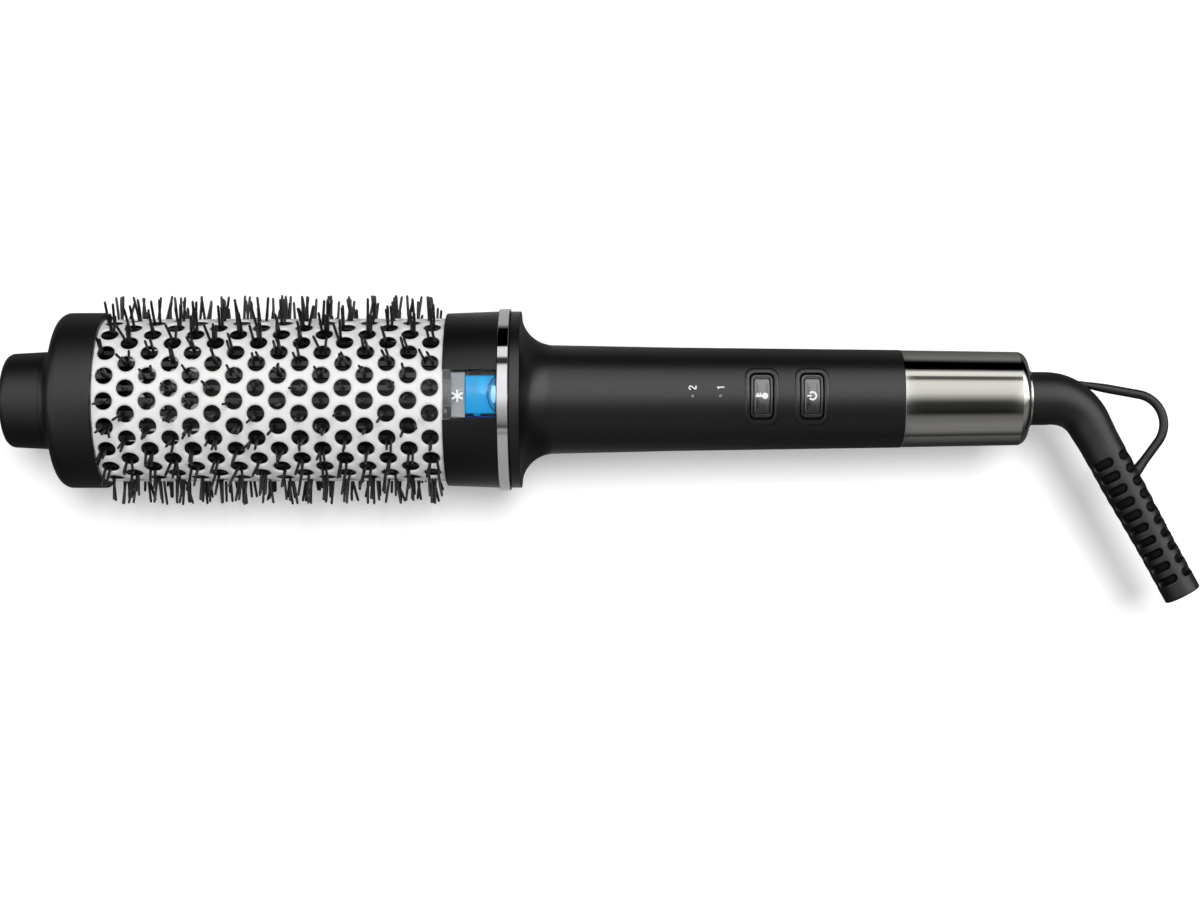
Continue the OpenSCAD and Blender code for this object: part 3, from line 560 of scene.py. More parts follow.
BLUE_LENS = moulded("ion_lens", (0.25, 0.6, 0.9), 0.2, 2.0, 0.004, 0.1)
SMOKED = moulded("smoked_silver", (0.26, 0.26, 0.265), 0.4, 1.2, 0.01, **DULL)
SMOKED_DARK = moulded("smoked_dark", (0.016, 0.016, 0.017), 0.35, 1.0, 0.01)
PALE_LENS = moulded("indicator_lens", (0.16, 0.165, 0.17), 0.25, 0.8, 0.004)
COAT_WHITE = baked_coat("barrel_white_coat")
# Grey levels of the two mirrors, which the studio's cards make good for
CHROME_GREY, GUNMETAL_GREY = 0.62, 0.49
CHROME = polished("chrome", (0.62, CHROME_GREY, 0.63), 0.035)
GUNMETAL = polished("gunmetal_nickel", (0.50, GUNMETAL_GREY, 0.455), 0.045)
RIM_METAL = polished("socket_rim", (0.5, 0.49, 0.46), 0.16)
STEEL = polished("steel", (0.56, 0.57, 0.58), 0.28)
WIRE_ALLOY = polished("resistance_wire", (0.45, 0.42, 0.38), 0.4)
BRASS = polished("brass", (0.72, 0.55, 0.26), 0.25)
LAMINATED = polished("laminated_steel", (0.3, 0.31, 0.33), 0.35, streak=(3000, 10, 10))
COPPER = wound_wire("enamelled_copper", (0.62, 0.28, 0.14), 0.35)
# The mica is coloured near black: painted shade for the inside of the barrel seen through its holes
MICA_IN_PAINTED_SHADE = mottled("mica", (0.010, 0.008, 0.006), (0.018, 0.015, 0.011), 2.5, 0.5)
FILTER = mottled("filter_pad", (0.03, 0.03, 0.03), (0.08, 0.08, 0.08), 0.5, 0.8)
FERRITE = mottled("ferrite", (0.05, 0.05, 0.052), (0.08, 0.08, 0.083), 0.4, 0.55)
BOARD = mottled("circuit_board", (0.01, 0.13, 0.05), (0.02, 0.2, 0.08), 2.2, 0.35)
CLEAR = clear_plastic("clear_window")
WHITE_INK = printed("white_ink", (0.8, 0.8, 0.8))

# ---------------- cool tip and end cap

# Gap between parts that fit one over the other
FIT = 0.08
SEAM = 0.06
BARREL_R = BARREL.r
BARREL_WALL = 0.6
# Bore of the parts whose rims the barrel's ends stand on
SEAT_R = BARREL_R - 1.4
MOUNTS = {m["name"]: m for m in frame["record"]["mounts"]}
GRIP_R = MOUNTS["cool_tip_grip"]["dims"]["r_mm"]
TIP_EDGE_R = 2.6
TIP_WALL = 2.2
# The tip's band widens a little from its end to the cap
BAND_FRONT_R, BAND_BACK_R = GRIP_R - 0.35, GRIP_R + 0.4
HOLLOW_LEAD = 0.3
HOLLOW_R = 3.0
SHOULDER_R = 3.6
SHOULDER_DEG = 75
LIP_R = 0.6
CAP_PLATE = 2
CAP_BOSS_R = 13
# The cap's inside opens from the boss to the barrel in a cone
CAP_CONE = ((20.5, SEAT_R), (17.5, 17.8))


def front_line():
    """The outer line of the cool tip and the end cap, from the axis to the cap's lip."""
    bend = math.radians(SHOULDER_DEG)
    hollow_x = TIP.x1 - HOLLOW_LEAD + HOLLOW_R * math.tan(bend / 2)
    shoulder_x = hollow_x + (CAP.r - BAND_BACK_R) / math.tan(bend)
    return rounded([
        (0, 0, 0), (0, BAND_FRONT_R, TIP_EDGE_R), (hollow_x, BAND_BACK_R, HOLLOW_R),
        (shoulder_x, CAP.r, SHOULDER_R), (CAP.x1, CAP.r, LIP_R), (CAP.x1, BARREL_R, 0),
    ], 5)


def stretch_of(line, x0, x1):
    """The part of an outline between two places along the brush."""
    kept = []
    for a, b in zip(line, line[1:]):
        for x in (x0, x1):
            if (a.x - x) * (b.x - x) < 0:
                kept.append(a.lerp(b, (x - a.x) / (b.x - a.x)))
        if x0 <= b.x <= x1:
            kept.append(b)
    return kept


def build_front():
    """The cool tip and the end cap, parted by a fine seam."""
    line = front_line()
    tip_back, cap_front = TIP.x1 - SEAM, TIP.x1 + SEAM
    bore_r = GRIP_R - TIP_WALL
    tip = [(0, 0)] + stretch_of(line, 0, tip_back)
    tip += [(tip_back, bore_r), (TIP_WALL, bore_r), (TIP_WALL, 0)]
    plate = TIP.x1 + CAP_PLATE
    cap = [(cap_front, 0)] + stretch_of(line, cap_front, CAP.x1 + 1)
    cap += [
        (CAP.x1, BARREL_R + FIT), (BARREL.x0, BARREL_R + FIT), (BARREL.x0, SEAT_R),
        *CAP_CONE, (plate, CAP_BOSS_R), (plate, 0),
    ]
    for name, outline, slot, node in (
        ("cool_tip_shell", tip, "tip_plastic", "cool_tip"),
        ("end_cap_shell", cap, "cap_plastic", "end_cap"),
    ):
        verts, faces = lathe(outline)
        make_piece(name, verts, faces, CAP_BLACK, [node], merge=MERGE)


# ---------------- barrel and bristles

RING_COUNT = 16
HOLES_PER_RING = 20
FIRST_RING_X = 34.4
RING_PITCH = 6.467
HOLE_R = 2.6
# The rows of holes are turned this far away from the keys, towards -Y
HOLE_TURN = math.radians(4)
CELL_SIDE = 8
BARREL_BORE_R = BARREL_R - BARREL_WALL
EDGE_SOFT = 0.3
# A cell's loops from its outer border through the hole to its inner border:
# (radius about the brush, how much wider than the hole), or None for the border itself
HOLE_LOOPS = (
    (BARREL_R, None), (BARREL_R, 1.1), (BARREL_R, 0.45),
    (BARREL_R - 0.3 * EDGE_SOFT, 1.1 * EDGE_SOFT), (BARREL_R - 0.75 * EDGE_SOFT, 0.45 * EDGE_SOFT),
    (BARREL_R - 1.6 * EDGE_SOFT, 0.0), (BARREL_BORE_R + 0.08, 0.0), (BARREL_BORE_R, 0.1),
    (BARREL_BORE_R, None),
)


def cell_border(half_x, half_a):
    """Points round a hole's cell, in (x, angle), with CELL_SIDE steps to a side."""
    corners = [(half_x, half_a), (-half_x, half_a), (-half_x, -half_a), (half_x, -half_a)]
    points = []
    for i, (x0, a0) in enumerate(corners):
        x1, a1 = corners[(i + 1) % 4]
        for k in range(CELL_SIDE):
            t = k / CELL_SIDE
            points.append((x0 + (x1 - x0) * t, a0 + (a1 - a0) * t))
    return points


def hole_cell(x0, a0, border):
    """A piece of the tube's sheet with one hole, centred at x0 and at angle a0."""
    verts, faces = [], []
    for r, growth in HOLE_LOOPS:
        for x, a in border:
            if growth is not None:
                # The hole is drilled square to the axis, round as seen from above it
                toward = math.atan2(a * BARREL_R, x)
                x = (HOLE_R + growth) * math.cos(toward)
                a = math.asin((HOLE_R + growth) * math.sin(toward) / r)
            verts.append((x0 + x, -r * math.sin(a0 + a), r * math.cos(a0 + a)))
    n = len(border)
    for k in range(len(HOLE_LOOPS) - 1):
        faces += band(k * n, (k + 1) * n, n)
    return verts, faces


def end_band(x0, x1, shift, open_face):
    """A plain end of the tube. It is open where it meets the cells, whose corners it shares."""
    outline = [(x0, BARREL_BORE_R), (x0, BARREL_R), (x1, BARREL_R), (x1, BARREL_BORE_R)]
    start = math.degrees(HOLE_TURN + shift * math.pi / HOLES_PER_RING)
    verts, faces = lathe(outline, HOLES_PER_RING * CELL_SIDE, start)
    return verts, [face for k, face in enumerate(faces) if k % 4 != open_face]


def build_barrel():
    """The punched tube: one cell of sheet round each hole, and plain bands at the ends."""
    half_x = RING_PITCH / 2
    border = cell_border(half_x, math.pi / HOLES_PER_RING)
    cells = [
        hole_cell(
            FIRST_RING_X + ring * RING_PITCH,
            HOLE_TURN + 2 * math.pi * (i + (ring % 2) / 2) / HOLES_PER_RING, border,
        )
        for ring in range(RING_COUNT) for i in range(HOLES_PER_RING)
    ]
    last_x = FIRST_RING_X + (RING_COUNT - 1) * RING_PITCH
    verts, faces = join(cells + [
        end_band(BARREL.x0, FIRST_RING_X - half_x, 1, 2), end_band(last_x + half_x, BARREL.x1, 2, 0),
    ])
    make_piece(
        "perforated_barrel", verts, faces, COAT_WHITE, ["barrel"],
        smooth_angle=50, merge=20 * MERGE,
    )


BRISTLE_R = 0.44
BRISTLE_SIDES = 8
# (share of the length, share of the thickness) from a bristle's root to its rounded end
BRISTLE_STATIONS = ((0, 1), (0.35, 1), (0.7, 0.97), (0.93, 0.94), (0.985, 0.72), (1.0, 0.3))
STRIP_HALF_W = 0.8
STRIP_H = 1
STRIP_TOP_R = BARREL_BORE_R - 0.1
# Places of bristles in a hole, and how far their tips lean and their middles bow
SPOT_X, SPOT_W = 1.5, 0.7
LEAN_X, LEAN_W = 0.9, 0.7
BOW = 0.25


def bristle(root, tip, bow):
    """One filament from root to tip, bowed sideways, with a rounded end."""
    axis = (tip - root).normalized()
    side = axis.cross(Vector((1, 0.3, 0.2))).normalized()
    other = axis.cross(side)
    verts = []
    for t, width in BRISTLE_STATIONS:
        middle = root.lerp(tip, t) + bow * (t * t)
        for k in range(BRISTLE_SIDES):
            a = 2 * math.pi * k / BRISTLE_SIDES
            verts.append(middle + (side * math.cos(a) + other * math.sin(a)) * BRISTLE_R * width)
    return verts, capped_loops(len(BRISTLE_STATIONS), BRISTLE_SIDES)


def hole_bristles(rng, x0, out, across):
    """The two or three bristles of the hole at x0, in the row that points along out."""
    shapes = []
    for _ in range(rng.choice((2, 2, 3))):
        x = x0 + rng.uniform(-SPOT_X, SPOT_X)
        w = rng.uniform(-SPOT_W, SPOT_W)
        reach = rng.uniform(0.93, 1.0) if rng.random() < 0.85 else rng.uniform(0.8, 0.93)
        tip_r = BARREL_R + (STRIPS.r - BARREL_R) * reach
        tip_x = x + rng.gauss(0, LEAN_X)
        tip = Vector((tip_x, 0, 0)) + out * tip_r + across * (w + rng.gauss(0, LEAN_W))
        from_axis = Vector((0, tip.y, tip.z))
        if from_axis.length > STRIPS.r:
            tip -= from_axis * (1 - STRIPS.r / from_axis.length)
        bow = Vector((rng.gauss(0, BOW), 0, 0)) + across * rng.gauss(0, BOW)
        root = Vector((x, 0, 0)) + out * (STRIP_TOP_R - STRIP_H / 2) + across * w
        shapes.append(bristle(root, tip - bow, bow))
    return shapes


def build_bristles():
    """Nylon strips under every row of holes, with two or three bristles in each hole."""
    rng = random.Random(11)
    shapes = []
    for row in range(2 * HOLES_PER_RING):
        a = HOLE_TURN + math.pi * row / HOLES_PER_RING
        out = Vector((0, -math.sin(a), math.cos(a)))
        across = Vector((0, math.cos(a), math.sin(a)))
        corners = ((STRIPS.x0, -1), (STRIPS.x1, -1), (STRIPS.x1, 1), (STRIPS.x0, 1))
        strip = [
            Vector((x, 0, 0)) + out * r + across * side * STRIP_HALF_W
            for r in (STRIP_TOP_R - STRIP_H, STRIP_TOP_R) for x, side in corners
        ]
        shapes.append((strip, capped_loops(2, 4)))
        for ring in range(row % 2, RING_COUNT, 2):
            shapes += hole_bristles(rng, FIRST_RING_X + ring * RING_PITCH, out, across)
    verts, faces = join(shapes)
    make_piece(
        "bristles", verts, faces, NYLON, ["bristle_strips"], smooth_angle=60
    )


# ---------------- collar, window and ion emitter

COLLAR_FRONT_R = 26.55
COLLAR_R = COLLAR.r
COLLAR_FLANGE_R, COLLAR_FLANGE_W = 18.9, 2
SLOT_HALF_W = 7.45
TRAY_FLOOR = 17.0
TRAY_WALL = 1.6
TRAY_HALF_W = 9.0
TRAY_TOP = 22.6
WINDOW_HALF_W = 7.4


def collar_r(x):
    """Outer radius of the collar, which widens a little towards the chrome ring."""
    return COLLAR_FRONT_R + (COLLAR_R - COLLAR_FRONT_R) * (x - COLLAR.x0) / (COLLAR.x1 - COLLAR.x0)


def build_collar():
    """The collar with its window's opening, and the black tray in that opening."""
    flange_x = COLLAR.x1 - COLLAR_FLANGE_W
    collar = lathe_piece(
        "collar_ring",
        [
            (COLLAR.x0, BARREL_R + FIT, 0), (COLLAR.x0, COLLAR_FRONT_R, 0.5),
            (COLLAR.x1, COLLAR_R, 0.12), (COLLAR.x1, COLLAR_FLANGE_R, 0),
            (flange_x, COLLAR_FLANGE_R, 0), (flange_x, SEAT_R, 0), (BARREL.x1, SEAT_R, 0),
            (BARREL.x1, BARREL_R + FIT, 0),
        ],
        "collar_plastic", COLLAR_BLACK, "collar",
    )
    under = TRAY_FLOOR - TRAY_WALL
    # The cutter stands out of the collar on three sides
    cut(collar, *box(
        (COLLAR.x0 - 1, -SLOT_HALF_W, under), (COLLAR.x1 + 1, SLOT_HALF_W, COLLAR_R + 5)
    ))
    shade(collar.data)
    right = [
        (TRAY_HALF_W, under), (TRAY_HALF_W, TRAY_TOP), (SLOT_HALF_W, TRAY_TOP),
        (SLOT_HALF_W, TRAY_FLOOR),
    ]
    left = [(-y, z) for y, z in reversed(right)]
    verts, faces = bar(right + left, BARREL.x1 + 0.05, COLLAR.x1 - 0.02)
    make_piece("window_tray", verts, faces, COLLAR_BLACK)


def curved_slab(x_steps, half_w, bottom, top, y_steps=24):
    """A slab that follows the collar: bottom and top give a radius for each x."""
    ys = evenly(-half_w, half_w, y_steps)
    nx, ny = len(x_steps), len(ys)
    verts = [
        (x, y, math.sqrt(radius(x) ** 2 - y * y))
        for radius in (bottom, top) for x in x_steps for y in ys
    ]

    def at(level, i, j):
        return level * nx * ny + i * ny + j

    faces = []
    last_x, last_y = nx - 1, ny - 1
    for i in range(last_x):
        for j in range(last_y):
            faces.append([at(1, i, j), at(1, i + 1, j), at(1, i + 1, j + 1), at(1, i, j + 1)])
            faces.append([at(0, i, j), at(0, i, j + 1), at(0, i + 1, j + 1), at(0, i + 1, j)])
        faces.append([at(0, i, 0), at(0, i + 1, 0), at(1, i + 1, 0), at(1, i, 0)])
        faces.append([
            at(0, i, last_y), at(1, i, last_y), at(1, i + 1, last_y), at(0, i + 1, last_y),
        ])
    for j in range(last_y):
        faces.append([at(0, 0, j), at(1, 0, j), at(1, 0, j + 1), at(0, 0, j + 1)])
        faces.append([
            at(0, last_x, j), at(0, last_x, j + 1), at(1, last_x, j + 1), at(1, last_x, j),
        ])
    return verts, faces


def build_window():
    """The clear pane, and the moulded frame and latch that show through it."""
    verts, faces = curved_slab(
        evenly(COLLAR.x0 + 0.02, COLLAR.x1 - 0.02, 12), WINDOW_HALF_W,
        lambda x: BARREL_R + 0.06, lambda x: collar_r(x) - 0.04,
    )
    make_piece(
        "ion_window_pane", verts, faces, CLEAR, ["ion_window"], smooth_angle=30
    )
    plate_r = BARREL_R + 0.3
    front, back = COLLAR.x0, CARRIER.x0 + 0.3
    plate = curved_slab(
        [front + 0.15, back], WINDOW_HALF_W - 0.2, lambda x: BARREL_R + FIT, lambda x: plate_r
    )
    ribs = []
    # (x0, x1, y0, y1, height above the plate) of each rib and boss
    for x0, x1, y0, y1, rise in (
        (front + 0.2, back, 3.1, 3.5, 0.35), (front + 0.2, back, -3.5, -3.1, 0.35),
        (front + 0.9, back + 2.6, -0.7, -0.15, 0.3), (front + 0.9, back, 0.6, 0.85, 0.3),
        (front + 1.7, front + 2.2, -2.6, 2.7, 0.25), (front + 0.5, front + 1.5, -5.6, -4.3, 0.3),
    ):
        z = math.sqrt(plate_r ** 2 - max(abs(y0), abs(y1)) ** 2)
        ribs.append(box((x0, y0, z - 0.3), (x1, y1, z + rise)))
    verts, faces = join([plate] + ribs)
    make_piece("window_frame_ribs", verts, faces, SMOKED_DARK)
    verts, faces = box((front + 0.35, 4.7, 24.0), (front + 2.5, 6.6, 24.95))
    make_piece("window_latch", verts, faces, COLLAR_BLACK)


def build_carrier():
    """The smoked carrier with its two chamfered upper edges."""
    half_w, top = CARRIER.high.y, CARRIER.high.z
    right = [(half_w, CARRIER.low.z), (half_w, top - 0.6), (half_w - 0.5, top)]
    left = [(-y, z) for y, z in reversed(right)]
    verts, faces = bar(right + left, CARRIER.x0, CARRIER.x1)
    make_piece(
        "ion_carrier_body", verts, faces, SMOKED, ["ion_carrier"], smooth_angle=50
    )


BLUE_X0, BLUE_X1 = BLUE.x0 + 0.02, BLUE.x1
BLUE_HALF_W = BLUE.high.y
CROWN_R = BLUE.high.z
BLUE_EDGE_R = 0.35
# Behind this arc the block dips to make room for the lens
ARC_X, ARC_R, ARC_HALF_DEG = 156.2, 7.4, 42
ARC_DIP = 0.5
NOTCH_X, NOTCH_HALF_L, NOTCH_W, NOTCH_DEPTH = 145.6, 1.1, 0.9, 0.05


def block_height(x, y):
    """Height of the blue block's top: crowned, rounded at its edges, dipped and notched."""
    z = math.sqrt(CROWN_R ** 2 - y * y)
    edge = min(x - BLUE_X0, BLUE_X1 - x, BLUE_HALF_W - abs(y))
    if edge < BLUE_EDGE_R:
        z -= BLUE_EDGE_R - math.sqrt(max(BLUE_EDGE_R ** 2 - (BLUE_EDGE_R - edge) ** 2, 0))
    if math.hypot(x - ARC_X, y) < ARC_R:
        z -= ARC_DIP
    if abs(x - NOTCH_X) < NOTCH_HALF_L and y < -BLUE_HALF_W + NOTCH_W:
        z -= NOTCH_DEPTH
    return z


def build_ion_block():
    """The blue block: a grid for its top, with straight sides and a floor below the rim."""
    columns, rows = evenly(BLUE_X0, BLUE_X1, 40), evenly(-BLUE_HALF_W, BLUE_HALF_W, 48)
    nx, ny = len(columns), len(rows)
    verts = [(x, y, block_height(x, y)) for x in columns for y in rows]
    faces = [
        [a, a + ny, a + ny + 1, a + 1]
        for i in range(nx - 1) for a in range(i * ny, i * ny + ny - 1)
    ]
    rim = list(range(ny)) + [i * ny + ny - 1 for i in range(1, nx)]
    rim += list(range(nx * ny - 2, (nx - 1) * ny - 1, -1)) + [i * ny for i in range(nx - 2, 0, -1)]
    base, n = len(verts), len(rim)
    verts += [(verts[k][0], verts[k][1], BLUE.low.z) for k in rim]
    for k in range(n):
        m = (k + 1) % n
        faces.append([rim[k], rim[m], base + m, base + k])
    faces.append([base + k for k in range(n)])
    make_piece(
        "ion_block", verts, faces, BLUE_PLASTIC, ["ion_emitter_block"],
        smooth_angle=40, merge=MERGE,
    )


def build_ion_details():
    """The lighter band, the bump, the strip, the dark arc and the pale lens on the blue block."""
    top = CROWN_R + 0.03
    band_side = 2.4
    verts, faces = curved_slab(
        evenly(BLUE_X0 + 4.4, 148.3, 6), 2.3, lambda x: top - 0.25, lambda x: top, 10
    )
    verts = [
        (x, y + band_side, math.sqrt(y * y + z * z - (y + band_side) ** 2)) for x, y, z in verts
    ]
    make_piece("ion_band", verts, faces, BLUE_LIGHT)
    bump = disc(NOTCH_X, -BLUE_HALF_W + 0.1, 1.15, 0.75)
    flat_piece("ion_bump", bump, top - 0.35, BLUE_PLASTIC)
    x0, x1, low, high = BLUE_X0 + 0.1, BLUE_X1 - 0.1, -6.95, -6.25
    strip = [(x0, low), (x1, low), (x1, high), (x0, high)]
    flat_piece("ion_strip", strip, CROWN_R - 0.9, BLUE_DARK)
    arc = arc_points(ARC_X, 0, ARC_R, 180 - ARC_HALF_DEG, 180 + ARC_HALF_DEG, 21)
    ribbon("ion_arc", arc, 0.42, top + 0.02, BLUE_DARK)
    flat_piece("ion_lens", disc(BLUE_X1 - 0.55, 0.1, 0.95, 2.7), CROWN_R - 0.2, BLUE_LENS)


def build_asterisk():
    """The white six-armed mark on the window."""
    cx, cy, arm, stroke = 139.85, -0.5, 1.85, 0.6
    line_r = collar_r(cx)
    for i in range(3):
        a = math.radians(60 * i + 90)
        ends = [(cx + arm * s * math.cos(a), cy + arm * s * math.sin(a)) for s in (-1, 0, 1)]
        ribbon("window_mark_%d" % i, ends, stroke, line_r, WHITE_INK, thick=0.1)


# ---------------- chrome ring and handle

RING_SEAT_R = 24.9
RING_EDGE_R = 0.25
RING_CROWN = 0.01
FLANGE_R = 27.15
FLANGE_END = 158.1
FLARE_R = 10.0
FLARE_END = FLANGE_END + FLARE_R
NECK_R = 16.95
WAIST_X = 205.0
WAIST_R = 15.95
WAIST_BEND_R = 40
HANDLE_END = SLEEVE.x0 - 0.05
HANDLE_END_R = 15.05
SHELL_WALL = 1.8
SHELL_MOUTH_R = 17.8
SPIGOT_R, SPIGOT_BORE_R = 13.4, 12.0
SOCKET_SEAT = SOCKET.x0 + 2
# Half of the seam between the two shells, in degrees
HALF_SEAM_DEG = 0.1
LIGHT_INSET = 1.2
LIGHT_XS = (LIGHTS.x0 + LIGHT_INSET, LIGHTS.x1 - LIGHT_INSET)
LIGHT_HOLE_R, LENS_R = 0.55, 0.5
SHELL_SCREW_XS = (203, 268)
SCREW_HOLE_R = 3
# Cutters for the shells reach from inside them to well outside, this far from the axis
CUT_FROM, CUT_TO = 10, 30


def handle_r(x):
    """Outer radius of the handle behind the flare."""
    if x < WAIST_X:
        return NECK_R + (WAIST_R - NECK_R) * (x - FLARE_END) / (WAIST_X - FLARE_END)
    return WAIST_R + (HANDLE_END_R - WAIST_R) * (x - WAIST_X) / (HANDLE_END - WAIST_X)


def build_chrome_ring():
    """The trim ring, very slightly crowned between its edges."""
    mid, half = (RING.x0 + RING.x1) / 2, (RING.x1 - RING.x0) / 2
    root_r, edge_r = RING_SEAT_R + FIT, RING.r - RING_CROWN - RING_EDGE_R
    outline = [(RING.x0, root_r), (RING.x0, edge_r)]
    for t in evenly(-1, 1, 12):
        x = mid + t * (half - RING_EDGE_R * 0.8)
        outline.append((x, RING.r - RING_CROWN * abs(t) ** 2.4))
    outline += [(RING.x1, edge_r), (RING.x1, root_r)]
    verts, faces = lathe(outline, 256)
    make_piece(
        "chrome_trim_ring", verts, faces, CHROME, ["chrome_ring"],
        smooth_angle=30, merge=MERGE,
    )


def shell_corners():
    """The handle's section as a closed outline of (x, r, rounding) corners."""
    front, step = RING.x0 + 0.1, RING.x1 + 0.05
    return [
        (front, SHELL_MOUTH_R, 0), (front, RING_SEAT_R, 0), (step, RING_SEAT_R, 0),
        (step, FLANGE_R, 0.5), (FLANGE_END, FLANGE_R, 0.19), (FLANGE_END, NECK_R, FLARE_R),
        (WAIST_X, WAIST_R, WAIST_BEND_R), (HANDLE_END, HANDLE_END_R, 0.15),
        (HANDLE_END, SPIGOT_R, 0), (SOCKET_SEAT, SPIGOT_R, 0), (SOCKET_SEAT, SPIGOT_BORE_R, 0),
        (HANDLE_END - 3, SPIGOT_BORE_R, 0), (HANDLE_END - 4, HANDLE_END_R - SHELL_WALL, 0),
        (WAIST_X, WAIST_R - SHELL_WALL, 0), (FLARE_END, NECK_R - SHELL_WALL, 0),
        (161.5, 16.6, 0), (157.5, SHELL_MOUTH_R, 0),
    ]


KEY_CENTRES = {
    "temperature": (TEMPERATURE_KEY.x0 + TEMPERATURE_KEY.x1) / 2,
    "power": (POWER_KEY.x0 + POWER_KEY.x1) / 2,
}
KEY_W, KEY_L, KEY_R = 6.9, 13.6, 1.5
KEY_GAP = 0.2
KEY_HOLE_W, KEY_HOLE_L = KEY_W + 2 * KEY_GAP, KEY_L + 2 * KEY_GAP


def build_handle():
    """The two shells, with holes for the keys and lights above and for screws below."""
    key_hole = rounded_rectangle(KEY_HOLE_W, KEY_HOLE_L, KEY_R + KEY_GAP)
    upper = [[(x + px, py) for px, py in key_hole] for x in KEY_CENTRES.values()]
    upper += [disc(x, 0, LIGHT_HOLE_R, LIGHT_HOLE_R) for x in LIGHT_XS]
    lower = [disc(x, 0, SCREW_HOLE_R, SCREW_HOLE_R) for x in SHELL_SCREW_XS]
    for name, middle_deg, node, holes, reach in (
        ("handle_upper_shell", 0, "handle_top_shell", upper, (CUT_FROM, CUT_TO)),
        ("handle_lower_shell", 180, "handle_bottom_shell", lower, (-CUT_TO, -CUT_FROM)),
    ):
        shell = lathe_piece(
            name, shell_corners(), "soft_touch", SOFT_TOUCH, node, step_deg=4, segments=128,
            start=middle_deg - 90 + HALF_SEAM_DEG, sweep=180 - 2 * HALF_SEAM_DEG,
        )
        for hole in holes:
            cut(shell, *prism(hole, *reach))
        shade(shell.data)


# ---------------- keys, frames and marks

# Loops that make up a key and its frame, each (how much narrower, how much shorter,
# corner rounding, height above the handle). The rim goes from its skirt to the groove,
# the face from the groove to its dished middle and the frame from outside to the key's hole.
RIM_LOOPS = (
    (0, 0, 1.5, -3.6), (0, 0, 1.5, -0.5), (0.1, 0.1, 1.5, -0.22), (0.34, 0.34, 1.4, -0.02),
    (0.7, 0.7, 1.25, 0.08), (1.2, 1.2, 1.1, 0.1), (1.7, 1.8, 0.9, 0.0), (1.95, 2.2, 0.75, -0.28),
    (2.1, 2.5, 0.7, -0.34), (2.6, 3.2, 0.3, -0.34),
)
FACE_LOOPS = (
    (2.2, 2.8, 0.6, -0.5), (2.2, 2.8, 0.6, 0.05), (2.32, 2.92, 0.55, 0.2), (2.6, 3.3, 0.45, 0.32),
    (3.0, 3.9, 0.35, 0.35), (3.8, 5.4, 0.25, 0.31), (4.8, 7.4, 0.2, 0.28),
)
FRAME_LOOPS = (
    (-3.5, -4.2, 3.2, -0.25), (-3.35, -4.05, 3.1, 0.05), (-3.05, -3.75, 2.95, 0.22),
    (-2.6, -3.3, 2.7, 0.3), (-1.5, -1.6, 2.1, 0.28), (-0.8, -0.8, 1.9, 0.2),
    (-0.48, -0.48, 1.75, -0.05), (-0.4, -0.4, 1.7, -0.4), (-0.4, -0.4, 1.7, -1.2),
)


def key_loop(w, l, r, side_steps=16, corner_steps=5):
    """Rounded-rectangle points, mirrored in X so that point i and point -1-i share a y."""
    span = l - 2 * r
    right = arc_points(w / 2 - r, -span / 2, r, -90, 0, corner_steps)
    right += [(w / 2, y) for y in evenly(-span / 2, span / 2, side_steps)[1:-1]]
    right += arc_points(w / 2 - r, span / 2, r, 0, 90, corner_steps)
    return right + [(-x, y) for x, y in reversed(right)]


def stacked(x_centre, loops, filled=True):
    """A pillow, or a hollow frame, over loops laid round a key on the handle."""
    surface_r = handle_r(x_centre)
    verts = []
    for narrower, shorter, rounding, height in loops:
        r = surface_r + height
        outline = key_loop(KEY_W - narrower, KEY_L - shorter, rounding)
        verts += [(x_centre + x, y, math.sqrt(r * r - y * y)) for x, y in outline]
    n, last = len(outline), (len(loops) - 1) * len(outline)
    faces = []
    for base in range(0, last, n):
        faces += band(base, base + n, n)
    if not filled:
        return verts, faces + band(last, 0, n)
    for i in range(n // 2 - 1):
        cap = [i, i + 1, n - 2 - i, n - 1 - i]
        faces += [cap[::-1], [last + c for c in cap]]
    return verts, faces


def build_keys():
    """Two push keys, each a soft rim round a glossy raised face, in a frame on the handle."""
    for name, x in KEY_CENTRES.items():
        body = name + "_key"
        verts, faces = stacked(x, RIM_LOOPS)
        make_piece(body + "_rim", verts, faces, KEY_RIM, [name + "_button"], body)
        verts, faces = stacked(x, FACE_LOOPS)
        make_piece(body + "_face", verts, faces, KEY_TOP, (), body, 50)
        verts, faces = stacked(x, FRAME_LOOPS, filled=False)
        make_piece(body + "_frame", verts, faces, FRAME_BLACK, (), HOUSING, 50)


# Raised ink on the keys stands this far above the handle's line, and print on the handle this far
KEY_INK = 0.37
PRINT = 0.02
# Strokes of the digits, as (up, right) from the middle of the line they stand on
DIGIT_TWO = (
    (0.52, 0.03), (0.82, 0.05), (1.0, 0.28), (1.03, 0.6), (0.9, 0.93), (0.58, 1.08),
    (0.18, 0.88), (-0.4, 0.38), (-0.98, 0.03), (-1.03, 0.2), (-1.03, 1.15),
)
DIGIT_ONE = ((0.45, 0.2), (0.7, 0.4), (0.98, 0.66), (0.3, 0.66), (-1.15, 0.66))
DIGIT_Y = 2.0


def key_mark(name, body, line, width):
    """A white stroke on a key."""
    key_x = KEY_CENTRES[body.replace("_key", "")]
    line = [(key_x + x, y) for x, y in line]
    ribbon(name, line, width, handle_r(key_x) + KEY_INK, WHITE_INK, body)


